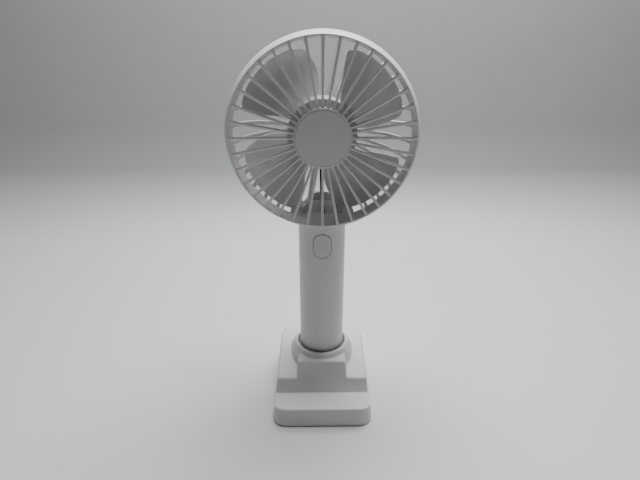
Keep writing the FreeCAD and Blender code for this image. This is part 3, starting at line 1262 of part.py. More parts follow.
def motor_lead():
    """Black lead from the motor down the rear grille, over the neck panel and into the handle."""
    radius = size("lead_radius")
    route = [FreeCAD.Vector(across, deep, size("head_height") + drop)
             for across, deep, drop in LEAD_ROUTE]
    edges = []
    start = route[0]
    turns = []
    for before, corner, after in zip(route, route[1:], route[2:]):
        into = (corner - before).normalize()
        out = (after - corner).normalize()
        turn = into.getAngle(out)
        reach = 0.45 * min((corner - before).Length, (after - corner).Length)
        turns.append(reach / math.tan(turn / 2))
        first, last = corner - into * reach, corner + out * reach
        bisector = (out - into).normalize()
        middle = corner + bisector * (turns[-1] / math.cos(turn / 2) - turns[-1])
        edges.append(Part.LineSegment(start, first).toShape())
        edges.append(Part.Arc(first, middle, last).toShape())
        start = last
    edges.append(Part.LineSegment(start, route[-1]).toShape())
    path = Part.Wire(edges)
    profile = Part.Wire(Part.makeCircle(radius, route[0], (route[1] - route[0]).normalize()))
    solid = path.makePipeShell([profile], True, False)
    print("motor lead: radii", [round(value, 1) for value in turns],
          "volume", round(solid.Volume, 2), "of", round(math.pi * radius ** 2 * path.Length, 2))
    item = doc.addObject("Part::Feature", "motor_lead")
    item.Shape = solid


# the lead's points: across, depth, and height from the head's centre
LEAD_ROUTE = (
    (-0.4, 29.55, -11.1), (-0.5, 29.7, -17.5), (-0.5, 29.4, -25), (-0.4, 27.9, -32.2),
    (-0.2, 25.0, -38.2), (0.3, 21.1, -43.0), (1.0, 17.4, -47.2), (1.2, 17.1, -53.2),
    (0.7, 15.5, -56), (0.2, 13.2, -57.6),
)


def write_parts():
    """Check every object and write one STEP file for each node."""
    doc.recompute()
    for item in doc.Objects:
        if "Invalid" in item.State or "Error" in item.State:
            raise RuntimeError(f"{item.Label} failed: {item.State}")
    tops = [item for item in doc.Objects if item.isDerivedFrom("Part::Feature") and item.Label in NODES]
    missing = set(NODES) - {item.Label for item in tops}
    if missing:
        raise RuntimeError(f"not made: {sorted(missing)}")
    for item in tops:
        if item.Shape.isNull() or not item.Shape.isValid() or not item.Shape.Solids:
            raise RuntimeError(f"{item.Label} has no valid solid")
        item.Shape.exportStep(f"parts/{item.Label}.step")
        print(f"{item.Label}: {len(item.Shape.Solids)} solid(s), {item.Shape.Volume:.1f} mm3")


NODES = (
    "base_shell", "base_bottom_plate", "base_feet", "base_screws", "socket_pad",
    "handle_tube", "handle_end_cap", "inner_carrier", "battery_cell", "battery_tabs", "battery_leads",
    "control_board", "board_chips", "board_screws", "indicator_led", "tact_switch", "tact_plunger",
    "power_button", "charge_board", "charge_port", "port_tongue",
    "rear_shell", "neck_screws", "front_guard", "guard_badge",
    "motor_can", "front_bush", "rear_bush", "motor_end_bell", "motor_magnets", "motor_brushes",
    "motor_terminals", "motor_lead",
    "impeller", "motor_shaft", "commutator", "rotor_core", "rotor_windings",
)

base_shell()
base_underside()
handle_tube()
end_cap()
inner_carrier()
cell_and_wires()
control_boards()
charging()
power_button()
front_guard()
rear_shell()
motor()
impeller()
motor_lead()
write_parts()
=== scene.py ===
"""Looks of a handheld electric fan that stands in its phone-stand base.

Lengths are millimetres while a surface is worked out, and metres once it is a mesh. The fan's
handle stands on the line x = 0, y = axis_depth, and its head turns about a line along Y at
head_height.
"""

import json
import logging
import math
from dataclasses import dataclass
from enum import Enum

import bmesh
import bpy
import numpy as np
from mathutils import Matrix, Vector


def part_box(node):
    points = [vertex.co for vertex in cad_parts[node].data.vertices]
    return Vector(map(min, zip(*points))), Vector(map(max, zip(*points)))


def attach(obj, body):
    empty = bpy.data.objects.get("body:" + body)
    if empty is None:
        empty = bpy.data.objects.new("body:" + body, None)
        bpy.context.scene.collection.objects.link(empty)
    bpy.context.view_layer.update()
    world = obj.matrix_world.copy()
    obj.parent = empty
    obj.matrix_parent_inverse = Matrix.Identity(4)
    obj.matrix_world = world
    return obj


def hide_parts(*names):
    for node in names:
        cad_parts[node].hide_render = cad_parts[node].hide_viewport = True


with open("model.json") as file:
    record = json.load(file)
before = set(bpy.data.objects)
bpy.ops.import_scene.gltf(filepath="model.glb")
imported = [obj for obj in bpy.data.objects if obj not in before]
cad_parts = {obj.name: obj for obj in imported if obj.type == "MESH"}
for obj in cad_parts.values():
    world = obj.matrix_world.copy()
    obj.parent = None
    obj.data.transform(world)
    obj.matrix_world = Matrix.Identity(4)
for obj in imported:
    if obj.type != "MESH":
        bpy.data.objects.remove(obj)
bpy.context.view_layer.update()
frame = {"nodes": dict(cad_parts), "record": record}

Array = np.ndarray
Table = tuple[tuple[float, ...], ...]
METRES = 0.001
ROUND = 2 * np.pi
MERGE, DEGENERATE = 2e-6, 1e-7
log = logging.getLogger("fan")


# ---------------------------------------------------------------- surfaces


def beside(*parts: Array | float) -> Array:
    """Numbers side by side in a new last axis, each spread to the shape they share."""
    return np.stack(np.broadcast_arrays(*parts), axis=-1)


@dataclass
class Skin:
    """Points and four-cornered faces of one surface.

    Attributes:
        points: One row of x, y, z for each vertex.
        faces: One row of four vertex numbers for each face.
    """

    points: Array
    faces: Array

    @staticmethod
    def grid(points: Array, wrap_rows: bool = False, wrap_columns: bool = False) -> "Skin":
        """Join a table of points to its neighbours, row by row and column by column.

        Args:
            points: Array of rows, columns and three coordinates.
            wrap_rows: The last row joins the first.
            wrap_columns: The last column joins the first.

        Returns:
            The surface.
        """
        rows, columns = points.shape[:2]
        number = np.arange(rows * columns).reshape(rows, columns)
        if wrap_rows:
            number = np.vstack([number, number[:1]])
        if wrap_columns:
            number = np.hstack([number, number[:, :1]])
        faces = beside(number[:-1, :-1], number[:-1, 1:], number[1:, 1:], number[1:, :-1])
        return Skin(points.reshape(-1, 3), faces.reshape(-1, 4))

    @staticmethod
    def capped(points: Array) -> "Skin":
        """Tube of closed rows whose first and last rows are drawn together to a point.

        Args:
            points: Array of rows, points round each row, and three coordinates.

        Returns:
            The closed surface.
        """
        first = np.broadcast_to(points[0].mean(axis=0), points[0].shape)
        last = np.broadcast_to(points[-1].mean(axis=0), points[-1].shape)
        return Skin.grid(np.concatenate([first[None], points, last[None]]), wrap_columns=True)

    @staticmethod
    def joined(skins: list["Skin"]) -> "Skin":
        """One surface that holds several."""
        starts = np.cumsum([0] + [len(skin.points) for skin in skins[:-1]])
        return Skin(np.concatenate([skin.points for skin in skins]),
                    np.concatenate([skin.faces + start for skin, start in zip(skins, starts)]))

    def turned(self, angles: Array, height: float) -> "Skin":
        """Copies turned about the head's line, which runs along Y at a height.

        Args:
            angles: Turn of each copy in radians.
            height: Height of the line.

        Returns:
            All the copies as one surface.
        """
        sine, cosine = np.sin(angles)[:, None], np.cos(angles)[:, None]
        across, along, up = self.points[:, 0], self.points[:, 1], self.points[:, 2] - height
        copies = beside(across * cosine + up * sine, along, up * cosine - across * sine + height)
        shift = (np.arange(len(angles)) * len(self.points))[:, None, None]
        return Skin(copies.reshape(-1, 3), (self.faces[None] + shift).reshape(-1, 4))


NEAR_HALF = 0.49
SAME_POINT = 1e-5


def softened(points: list[tuple[float, float, float]], steps: int = 6) -> Array:
    """Closed outline whose corners are rounded by arcs.

    Each corner is drawn as the quadratic curve that leaves one side and meets the other at the
    reach r * tan(turn / 2) from the corner, which is close to an arc of radius r.

    Args:
        points: Corners as first coordinate, second coordinate and rounding radius.
        steps: Pieces of each rounded corner.

    Returns:
        Points of the outline, two coordinates each.
    """
    corners = np.array([point[:2] for point in points], float)
    radii = np.array([point[2] for point in points], float)
    into = corners - np.roll(corners, 1, axis=0)
    onward = np.roll(corners, -1, axis=0) - corners
    length_in, length_out = np.linalg.norm(into, axis=1), np.linalg.norm(onward, axis=1)
    into, onward = into / length_in[:, None], onward / length_out[:, None]
    turn = np.arccos(np.clip((into * onward).sum(axis=1), -1, 1))
    room = NEAR_HALF * np.minimum(length_in, length_out)
    reach = np.minimum(radii * np.tan(turn / 2), room)[:, None, None]
    share = np.linspace(0, 1, steps + 1)[None, :, None]
    start, end = corners[:, None] - into[:, None] * reach, corners[:, None] + onward[:, None] * reach
    curve = start * (1 - share) ** 2 + corners[:, None] * 2 * share * (1 - share) + end * share ** 2
    line = curve.reshape(-1, 2)
    apart = np.linalg.norm(line - np.roll(line, 1, axis=0), axis=1) > SAME_POINT
    return line[apart]


def smooth_line(points: list[tuple[float, ...]], count: int) -> Array:
    """Even points on the smooth curve through given points.

    Between two neighbours the curve is the cubic whose slope at each is half the step between
    the points on its two sides.

    Args:
        points: Points the curve goes through.
        count: How many points to return.

    Returns:
        Points of the curve.
    """
    known = np.array(points, float)
    padded = np.vstack([2 * known[0] - known[1], known, 2 * known[-1] - known[-2]])
    place = np.linspace(0, len(known) - 1, count)
    low = np.minimum(place.astype(int), len(known) - 2)
    share = (place - low)[:, None]
    before, start, end, after = (padded[low + step] for step in range(4))
    return 0.5 * (2 * start + (end - before) * share
                  + (2 * before - 5 * start + 4 * end - after) * share ** 2
                  + (3 * start - before - 3 * end + after) * share ** 3)


def spun_head(profile: Array, height: float, steps: int = 180, closed: bool = True) -> Skin:
    """Profile of radius and depth turned once round the head's line.

    Args:
        profile: Rows of radius and depth.
        height: Height of the line.
        steps: Points round the turn.
        closed: The profile's last point joins its first.

    Returns:
        The surface.
    """
    angle = np.linspace(0, ROUND, steps, endpoint=False)[:, None]
    radius, depth = profile.T
    points = beside(radius * np.sin(angle), depth, height + radius * np.cos(angle))
    return Skin.grid(points, wrap_rows=True, wrap_columns=closed)


def spun_upright(profile: Array, depth: float, steps: int = 120) -> Skin:
    """Profile of radius and height turned once round an upright line.

    Args:
        profile: Rows of radius and height.
        depth: Depth of the line.
        steps: Points round the turn.

    Returns:
        The surface.
    """
    angle = np.linspace(0, ROUND, steps, endpoint=False)[:, None]
    radius, height = profile.T
    return Skin.grid(beside(radius * np.sin(angle), depth - radius * np.cos(angle), height), wrap_rows=True)


def rounded_bar(half_width: Array, half_depth: Array, steps: int,
                power: float = 4.0) -> tuple[Array, Array]:
    """Section of a bar with soft corners.

    The section is the closed curve |a / half_width| ** power + |b / half_depth| ** power = 1.

    Args:
        half_width: Half width at each station.
        half_depth: Half depth at each station.
        steps: Points round the section.
        power: Squareness, where 2 is an ellipse.

    Returns:
        Offsets across the width and the depth, one row for each station.
    """
    turn = np.linspace(0, ROUND, steps, endpoint=False)
    across = np.sign(np.cos(turn)) * np.abs(np.cos(turn)) ** (2 / power)
    along = np.sign(np.sin(turn)) * np.abs(np.sin(turn)) ** (2 / power)
    return half_width[:, None] * across, half_depth[:, None] * along


# ---------------------------------------------------------------- finishes


class Slot(Enum):
    """Material slots of the record, one held by each new piece beside the finish it is given."""

    SHELL = "white_plastic"
    BUTTON = "button_plastic"
    BADGE = "badge_plastic"
    BLADES = "blade_plastic"


class NodeTree:
    """A new material, and short ways to add its nodes and join them."""

    def __init__(self, name: str) -> None:
        """Start from the plain shader.

        Args:
            name: Name of the material.
        """
        self.material = bpy.data.materials.new(name)
        self.material.use_nodes = True
        self.shader = self.material.node_tree.nodes["Principled BSDF"]

    def add(self, kind: str, **values: object) -> bpy.types.Node:
        """Add a node of a kind and set its inputs, as put does.

        Args:
            kind: End of the node type's name.
            values: Value of each input.

        Returns:
            The node.
        """
        node = self.material.node_tree.nodes.new(f"ShaderNode{kind}")
        self.put(node, **values)
        return node

    @staticmethod
    def put(node: bpy.types.Node, **values: object) -> None:
        """Set inputs of a node, the spaces in their names written as underscores."""
        for name, value in values.items():
            node.inputs[name.replace("_", " ")].default_value = value

    def ramp(self, positions: tuple[float, float], colours: tuple[tuple[float, ...], ...]) -> bpy.types.Node:
        """Add a ramp from one colour to another.

        Args:
            positions: Where each colour stands.
            colours: Linear red, green and blue of each.

        Returns:
            The node.
        """
        node = self.add("ValToRGB")
        for stop, position, colour in zip(node.color_ramp.elements, positions, colours):
            stop.position, stop.color = position, (*colour, 1)
        return node

    def join(self, *links: tuple) -> None:
        """Join nodes, each link as source, its output, target and its input."""
        for source, output, target, socket in links:
            self.material.node_tree.links.new(source.outputs[output], target.inputs[socket])


@dataclass(frozen=True)
class Finish:
    """A finish with grain, mottling and uneven gloss.

    Attributes:
        name: Name of the material.
        colour: Linear red, green and blue.
        shade: Share by which the mottling darkens the colour.
        roughness: Middle of the range of roughness.
        spread: Half that range.
        grain: Size of the surface grain in millimetres.
        relief: Height of the grain in millimetres.
        metallic: 1 for bare metal.
        stretch: Stretch of the grain along each axis, for brushed or wound surfaces.
        through: Share of light that enters the surface and comes out softened.
        clear: Strength of a clear coat.
    """

    name: str
    colour: tuple[float, float, float]
    shade: float = 0.05
    roughness: float = 0.45
    spread: float = 0.06
    grain: float = 0.35
    relief: float = 0.012
    metallic: float = 0.0
    stretch: tuple[float, float, float] = (1.0, 1.0, 1.0)
    through: float = 0.0
    clear: float = 0.0

    PATCH = 14.0
    PATCH_DETAIL = 3.0
    GRAIN_DETAIL = 2.0
    PATCH_RAMP = (0.3, 0.7)
    SCATTER = (0.004, 0.004, 0.004)

    def material(self) -> bpy.types.Material:
        """Build the node tree, or return the material that was built before.

        Returns:
            The material.
        """
        made = bpy.data.materials.get(self.name)
        if made is not None:
            return made
        tree = NodeTree(self.name)
        tree.put(tree.shader, Metallic=self.metallic, Coat_Weight=self.clear, Subsurface_Weight=self.through,
                 Subsurface_Radius=self.SCATTER, Subsurface_Scale=1.0)
        place = tree.add("TexCoord")
        mapping = tree.add("Mapping", Scale=self.stretch)
        patches = tree.add("TexNoise", Scale=1 / (self.PATCH * METRES), Detail=self.PATCH_DETAIL)
        grain = tree.add("TexNoise", Scale=1 / (self.grain * METRES), Detail=self.GRAIN_DETAIL)
        dark = tuple(channel * (1 - self.shade) for channel in self.colour)
        tint = tree.ramp(self.PATCH_RAMP, (dark, self.colour))
        gloss = tree.add("MapRange", To_Min=self.roughness - self.spread, To_Max=self.roughness + self.spread)
        bump = tree.add("Bump", Distance=self.relief * METRES)
        tree.join((place, "Object", mapping, "Vector"), (mapping, "Vector", patches, "Vector"),
                  (mapping, "Vector", grain, "Vector"), (patches, "Fac", tint, "Fac"),
                  (tint, "Color", tree.shader, "Base Color"), (grain, "Fac", gloss, "Value"),
                  (gloss, "Result", tree.shader, "Roughness"), (grain, "Fac", bump, "Height"),
                  (bump, "Normal", tree.shader, "Normal"))
        return tree.material


WHITE = Finish("satin_white", (0.70, 0.70, 0.69), 0.03, 0.42, 0.07, 0.45, 0.015, through=0.06)
BASE_WHITE = Finish("grained_white", (0.70, 0.70, 0.705), 0.04, 0.50, 0.08, 0.38, 0.03, through=0.06)
BUTTON_WHITE = Finish("button_white", (0.68, 0.68, 0.67), 0.03, 0.38, 0.05, 0.3, 0.01)
BADGE_WHITE = Finish("badge_white", (0.66, 0.66, 0.64), 0.03, 0.36, 0.05, 0.25, 0.008)
# the blades are the shell's plastic with a faint purple-grey tint, painted darker than the shell as painted
# shade for the shade they turn in inside the head
BLADE_WHITE_WITH_PAINTED_SHADE = Finish("blade_white_painted_shade", (0.60, 0.585, 0.60), 0.05, 0.32, 0.06, 0.6, 0.01, through=0.1)

# the finish of each material slot that the record names
INNER_FINISHES = {
    "white_plastic": WHITE,
    "base_plastic": Finish("plate_white", (0.66, 0.66, 0.65), 0.05, 0.52, 0.06, 0.5, 0.02),
    "foot_rubber": Finish("soft_rubber", (0.33, 0.33, 0.325), 0.12, 0.72, 0.08, 0.3, 0.03),
    "screw_steel": Finish("plated_screw", (0.56, 0.56, 0.57), 0.1, 0.3, 0.08, 0.25, 0.01, 1.0),
    "pad_foam": Finish("dense_foam", (0.035, 0.035, 0.037), 0.25, 0.9, 0.05, 0.25, 0.08),
    "inner_plastic": Finish("natural_plastic", (0.60, 0.59, 0.56), 0.05, 0.5, 0.06, 0.5, 0.015),
    "cell_wrap": Finish("cell_wrap", (0.02, 0.10, 0.22), 0.1, 0.22, 0.05, 2.0, 0.01, clear=0.4),
    "nickel": Finish("nickel_strip", (0.60, 0.58, 0.54), 0.08, 0.28, 0.08, 0.4, 0.008, 1.0, (1, 8, 1)),
    "lead_black": Finish("black_insulation", (0.012, 0.012, 0.013), 0.2, 0.4, 0.08, 0.4, 0.01),
    "board_green": Finish("solder_mask", (0.01, 0.11, 0.035), 0.25, 0.3, 0.06, 0.7, 0.012),
    "chip_black": Finish("moulded_black", (0.02, 0.02, 0.021), 0.2, 0.55, 0.08, 0.2, 0.012),
    "led_lens": Finish("clear_resin", (0.75, 0.75, 0.66), 0.04, 0.12, 0.04, 1.0, 0.004, through=0.4),
    "button_plastic": BUTTON_WHITE,
    "port_steel": Finish("port_steel", (0.60, 0.60, 0.61), 0.08, 0.25, 0.08, 0.3, 0.008, 1.0, (1, 6, 1)),
    "badge_plastic": BADGE_WHITE,
    "can_steel": Finish("zinc_can", (0.58, 0.58, 0.59), 0.1, 0.33, 0.09, 0.5, 0.01, 1.0, (1, 5, 1)),
    "bush_bronze": Finish("sintered_bronze", (0.42, 0.27, 0.12), 0.25, 0.45, 0.1, 0.15, 0.03, 1.0),
    "magnet_ferrite": Finish("ferrite", (0.045, 0.045, 0.047), 0.2, 0.6, 0.1, 0.2, 0.03),
    "brush_carbon": Finish("copper_carbon", (0.05, 0.042, 0.038), 0.2, 0.55, 0.1, 0.2, 0.02),
    "terminal_brass": Finish("tinned_brass", (0.62, 0.50, 0.25), 0.1, 0.3, 0.08, 0.3, 0.01, 1.0),
    "blade_plastic": BLADE_WHITE_WITH_PAINTED_SHADE,
    "shaft_steel": Finish("ground_shaft", (0.62, 0.62, 0.63), 0.05, 0.16, 0.05, 0.2, 0.003, 1.0, (1, 6, 1)),
    "commutator_copper": Finish("commutator", (0.62, 0.30, 0.16), 0.15, 0.3, 0.08, 0.3, 0.01, 1.0,
                                (1, 0.2, 1)),
    "core_steel": Finish("laminations", (0.30, 0.30, 0.31), 0.2, 0.42, 0.1, 0.3, 0.02, 1.0, (0.1, 6, 0.1)),
    "winding_copper": Finish("enamelled_wire", (0.50, 0.20, 0.07), 0.2, 0.28, 0.08, 0.25, 0.04, 1.0,
                             (1, 0.2, 1)),
}


@dataclass
class Piece:
    """One visible piece of the fan.

    Attributes:
        name: Name of the object.
        skin: Its surface in millimetres.
        body: Body it rides on.
        finish: Its finish.
        slot: The record's material slot.
        nodes: CAD nodes it stands for.
        crease: Edges that turn more than this many degrees stay sharp.
    """

    name: str
    skin: Skin
    body: str
    finish: Finish
    slot: Slot
    nodes: tuple[str, ...]
    crease: float = 38.0

    def make(self) -> bpy.types.Object:
        """Put the surface into a mesh, close it, dress it and tie it to its body.

        Returns:
            The object.
        """
        item = drawn(self.name, self.skin)
        mesh = item.data
        loose = close(mesh)
        mesh.shade_smooth()
        mesh.set_sharp_from_angle(angle=math.radians(self.crease))
        mesh.materials.append(self.finish.material())
        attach(item, self.body)
        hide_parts(*self.nodes)
        log.info("%s: %d faces, %d open edges", self.name, len(mesh.polygons), loose)
        return item


def drawn(name: str, skin: Skin) -> bpy.types.Object:
    """Object in the scene whose mesh is a surface, brought from millimetres to metres.

    Args:
        name: Name of the object.
        skin: The surface.

    Returns:
        The object.
    """
    mesh = bpy.data.meshes.new(name)
    mesh.from_pydata((skin.points * METRES).tolist(), [], skin.faces.tolist())
    item = bpy.data.objects.new(name, mesh)
    bpy.context.scene.collection.objects.link(item)
    return item


def close(mesh: bpy.types.Mesh) -> int:
    """Merge points that meet and turn every face outwards.

    Args:
        mesh: The mesh to tidy.

    Returns:
        The number of edges that do not have two faces.
    """
    work = bmesh.new()
    work.from_mesh(mesh)
    bmesh.ops.remove_doubles(work, verts=work.verts, dist=MERGE)
    bmesh.ops.dissolve_degenerate(work, edges=work.edges, dist=DEGENERATE)
    bmesh.ops.recalc_face_normals(work, faces=work.faces)
    loose = sum(1 for edge in work.edges if len(edge.link_faces) != 2)
    work.to_mesh(mesh)
    work.free()
    return loose


def span(node: str) -> tuple[Array, Array]:
    """Lowest and highest corner of a CAD node in millimetres."""
    low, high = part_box(node)
    return np.array(low) / METRES, np.array(high) / METRES


# ---------------------------------------------------------------- the head


@dataclass
class FrontGuard:
    """Snap-on ring with straight radial ribs and a centre disc that holds a badge.

    Radii are measured from the head's line, and depths along it from the plane y = 0. A flare is
    how much a rib widens at its end and how fast that dies away, both in millimetres.
    """

    height: float
    front: float = -1.0
    back: float = 9.4
    rim_inner: float = 50.0
    rim_front: float = 50.9
    rim_outer: float = 53.3
    rim_widest: float = 7.0
    throat: float = 49.3
    rebate_radius: float = 51.6
    rebate_depth: float = 6.3
    ribs: int = 36
    rib_half_inner: float = 0.6
    rib_half_outer: float = 0.8
    rib_start: float = 15.2
    rib_end: float = 50.75
    rib_back_inner: float = 3.2
    rib_back_outer: float = 1.4
    rib_squareness: float = 2.8
    rib_taper: float = 0.14
    rim_flare: tuple[float, float] = (0.2, 0.8)
    disc_flare: tuple[float, float] = (0.25, 0.7)
    lip_round: float = 0.35
    disc_radius: float = 15.9
    disc_front: float = -2.0
    disc_skirt: float = 14.5
    badge_radius: float = 14.9
    badge_front: float = -2.1
    badge_seat: float = -1.1
    badge_gap: float = 0.15

    def rim(self) -> Skin:
        """Ring whose outside bulges: radius = rim_outer - swell * ((rim_widest - depth) / run) ** 2.

        Returns:
            The ring.
        """
        run, swell = self.rim_widest - self.front, self.rim_outer - self.rim_front
        depth = np.linspace(self.front + self.lip_round, self.rim_widest, 12)
        radius = self.rim_outer - swell * ((self.rim_widest - depth) / run) ** 2
        lip = [(self.throat, self.rebate_depth, 0.1), (self.rim_inner, self.front, 0.3),
               (self.rim_front, self.front, 0.3)]
        heel = [(self.rim_outer, self.back, self.lip_round), (self.rebate_radius, self.back, 0.1),
                (self.rebate_radius, self.rebate_depth, 0.1)]
        bulge = [(r, d, 0.0) for r, d in zip(radius, depth)]
        return spun_head(softened(lip + bulge + heel), self.height, 240)

    def rib(self) -> Skin:
        """One rib: a soft-cornered bar along the radius, flared where it meets the disc and the rim.

        Returns:
            The rib, standing straight up from the head's line.
        """
        radius = np.linspace(self.rib_start, self.rib_end, 22)
        ends = [self.disc_radius, self.rim_inner]
        back = np.interp(radius, ends, [self.rib_back_inner, self.rib_back_outer])
        half = np.interp(radius, ends, [self.rib_half_inner, self.rib_half_outer])
        at_rim = self.rim_flare[0] * np.exp((radius - self.rim_inner) / self.rim_flare[1])
        at_disc = self.disc_flare[0] * np.exp((self.disc_radius - radius) / self.disc_flare[1])
        half_depth = (back - self.front) / 2
        across, along = rounded_bar(half + (at_rim + at_disc), half_depth, 20, self.rib_squareness)
        taper = 1 - self.rib_taper * along / half_depth[:, None]
        middle = ((back + self.front) / 2)[:, None]
        return Skin.capped(beside(across * taper, middle + along, self.height + radius[:, None]))

    def disc(self) -> Skin:
        """Centre disc with a shallow recess for the badge.

        Returns:
            The disc.
        """
        recess = self.badge_radius + self.badge_gap
        return spun_head(softened([
            (0, self.badge_seat, 0), (recess, self.badge_seat, 0.05), (recess, self.disc_front, 0.12),
            (self.disc_radius, self.disc_front, 0.5), (self.disc_radius, self.rib_back_inner, 0.3),
            (self.disc_skirt, self.rib_back_inner, 0.3), (self.disc_skirt, 0, 0.3), (0, 0, 0),
        ]), self.height, 180, closed=False)

    def badge(self) -> Skin:
        """Plain round plate with a softened edge and a crown of a tenth of a millimetre.

        Returns:
            The plate.
        """
        plate = softened([(0, self.badge_front, 0), (self.badge_radius, self.badge_front, 0.45),
                          (self.badge_radius, self.badge_seat, 0.1), (0, self.badge_seat, 0)])
        return spun_head(plate, self.height, 180, closed=False)

    def build(self) -> None:
        """Make the guard and its badge."""
        angles = np.arange(self.ribs) * ROUND / self.ribs
        whole = Skin.joined([self.rim(), self.rib().turned(angles, self.height), self.disc()])
        Piece("guard_ring_and_ribs", whole, "fan", WHITE, Slot.SHELL, ("front_guard",)).make()
        Piece("guard_centre_plate", self.badge(), "fan", BADGE_WHITE, Slot.BADGE, ("guard_badge",)).make()


@dataclass
class RearShell:
    """Bowl-shaped grille with a rear disc, a motor cup and a solid panel over the handle.

    The tables give radius and depth: the middle line of a rib, the outside of the panel with its
    radii negative so that they rise, its inside, and its top edge.
    """

    height: float
    axis_depth: float
    lip_front: float = 6.4
    lip_outer: float = 51.5
    seam: float = 9.5
    rim_outer: float = 53.3
    band_back: float = 12.0
    band_outer: float = 51.8
    band_inner: float = 50.4
    throat: float = 49.3
    ribs: int = 34
    rib_half: float = 1.1
    rib_thick: float = 2.2
    disc_radius: float = 15.5
    disc_front: float = 31.5
    disc_back: float = 33.5
    cup_inner: float = 12.1
    cup_outer: float = 13.7
    cup_front: float = 23.4
    panel_half_turn: float = 21.4
    panel_margin: float = 0.02
    seam_gap: float = 0.02
    panel_top: float = 42.8
    panel_roll: float = 1.2
    panel_bevel: float = 0.4
    rib_overlap: float = 0.9
    spigot_outer: float = 12.45
    spigot_wall: float = 2.2
    spigot_low: float = 107.0
    spigot_high: float = 124.0
    course: Table = (
        (50.8, 10.4), (49.5, 12.6), (47.5, 17.3), (44.0, 23.2), (38.6, 28.2), (31.5, 31.2), (24.0, 32.1),
        (14.3, 32.5),
    )
    panel_outside: Table = ((-53.3, 9.5), (-52.9, 13.5), (-51.4, 18.4), (-48.4, 22.2), (-44.3, 24.9),
                            (-43.0, 25.2))
    panel_inside: Table = ((42.8, 23.0), (45.6, 20.4), (48.2, 17.6), (49.3, 16.6))
    panel_edge: Table = ((42.8, 24.4), (46.0, 21.5))
    samples: int = 200

    def band(self) -> Skin:
        """Ring behind the seam, with the lip that enters the guard.

        Returns:
            The ring.
        """
        return spun_head(softened([
            (self.throat, self.lip_front, 0.2), (self.lip_outer, self.lip_front, 0.3),
            (self.lip_outer, self.seam, 0.05), (self.rim_outer, self.seam, 0.3),
            (self.band_outer, self.band_back, 0.6), (self.band_inner, self.band_back, 0.5),
            (self.throat, self.seam, 0.8),
        ]), self.height, 240)

    def rib(self, start: float) -> Skin:
        """One rib: a soft-cornered bar carried along the bowl's course from a radius inwards.

        Args:
            start: Radius where the rib begins.

        Returns:
            The rib, standing straight up from the head's line.
        """
        line = smooth_line(list(self.course), self.samples)
        number, last = np.arange(self.samples), self.samples - 1
        first = float(np.interp(-start, -line[:, 0], number))
        index = first + (last - first) * np.linspace(0, 1, 26)
        radius, depth = (np.interp(index, number, line[:, column]) for column in (0, 1))
        run = beside(np.gradient(radius), np.gradient(depth))
        run /= np.linalg.norm(run, axis=1)[:, None]
        half = np.full(len(radius), self.rib_thick / 2)
        across, along = rounded_bar(np.full(len(radius), self.rib_half), half, 16)
        return Skin.capped(beside(across, depth[:, None] + along * -run[:, :1],
                                  self.height + radius[:, None] + along * run[:, 1:]))

    def grille(self) -> list[Skin]:
        """All ribs: full ones, and shorter ones that start at the panel's straight top edge.

        Returns:
            One surface for the full ribs and one for each short rib.
        """
        angles = np.arange(self.ribs) * ROUND / self.ribs
        short = np.abs(angles - np.pi) < math.radians(self.panel_half_turn) - self.panel_margin
        longest = self.course[0][0]
        skins = [self.rib(longest).turned(angles[~short], self.height)]
        for angle in angles[short]:
            start = (self.panel_top + self.rib_overlap) / math.cos(angle - math.pi)
            skins.append(self.rib(min(start, longest)).turned(np.array([angle]), self.height))
        return skins

    def disc(self) -> Skin:
        """Rear disc with the cup that holds the motor.

        Returns:
            The disc and its cup.
        """
        return spun_head(softened([
            (0, self.disc_front, 0), (self.cup_inner, self.disc_front, 0.2),
            (self.cup_inner, self.cup_front, 0.2), (self.cup_outer, self.cup_front, 0.3),
            (self.cup_outer, self.disc_front, 0.5), (self.disc_radius, self.disc_front, 0.3),
            (self.disc_radius, self.disc_back, 0.7), (0, self.disc_back, 0),
        ]), self.height, 150, closed=False)

    def panel(self) -> Skin:
        """Solid panel below: a section carried round the head's line, its top edge cut level.

        The outside falls from the seam along the bowl. At a turn from straight down the top edge
        lies at radius panel_top / cos(turn), which keeps it level.

        Returns:
            The panel.
        """
        turn = np.radians(np.linspace(-self.panel_half_turn, self.panel_half_turn, 49))
        top = self.panel_top / np.cos(turn)
        share = np.linspace(0, 1, 14)[None, :]
        outer_radius = self.rim_outer + (top[:, None] + self.panel_roll - self.rim_outer) * share
        outer_depth = np.interp(-outer_radius, *np.array(self.panel_outside).T)
        inner_radius = top[:, None] + (self.throat - top[:, None]) * share
        inner_depth = np.interp(inner_radius, *np.array(self.panel_inside).T)
        edge = beside(top + self.panel_bevel, np.interp(top, *np.array(self.panel_edge).T))[:, None]
        front = np.broadcast_to([self.throat, self.seam + self.seam_gap], edge.shape)
        profile = np.concatenate([beside(outer_radius, outer_depth), edge,
                                  beside(inner_radius, inner_depth), front], axis=1)
        radius, turn = profile[..., 0], turn[:, None]
        return Skin.capped(beside(radius * np.sin(turn), profile[..., 1],
                                  self.height - radius * np.cos(turn)))

    def spigot(self) -> Skin:
        """Half ring that enters the handle.

        Returns:
            The half ring.
        """
        turn = np.linspace(0, np.pi, 40)[:, None]
        inner = self.spigot_outer - self.spigot_wall
        section = softened([(inner, self.spigot_low, 0.3), (self.spigot_outer, self.spigot_low, 0.3),
                            (self.spigot_outer, self.spigot_high, 0.1), (inner, self.spigot_high, 0.1)])
        reach, height = section.T
        return Skin.capped(beside(reach * np.cos(turn), self.axis_depth + reach * np.sin(turn), height))

    def build(self) -> None:
        """Make the rear shell as one moulding."""
        whole = Skin.joined([self.band(), *self.grille(), self.disc(), self.panel(), self.spigot()])
        Piece("rear_grille_moulding", whole, "fan", WHITE, Slot.SHELL, ("rear_shell",)).make()


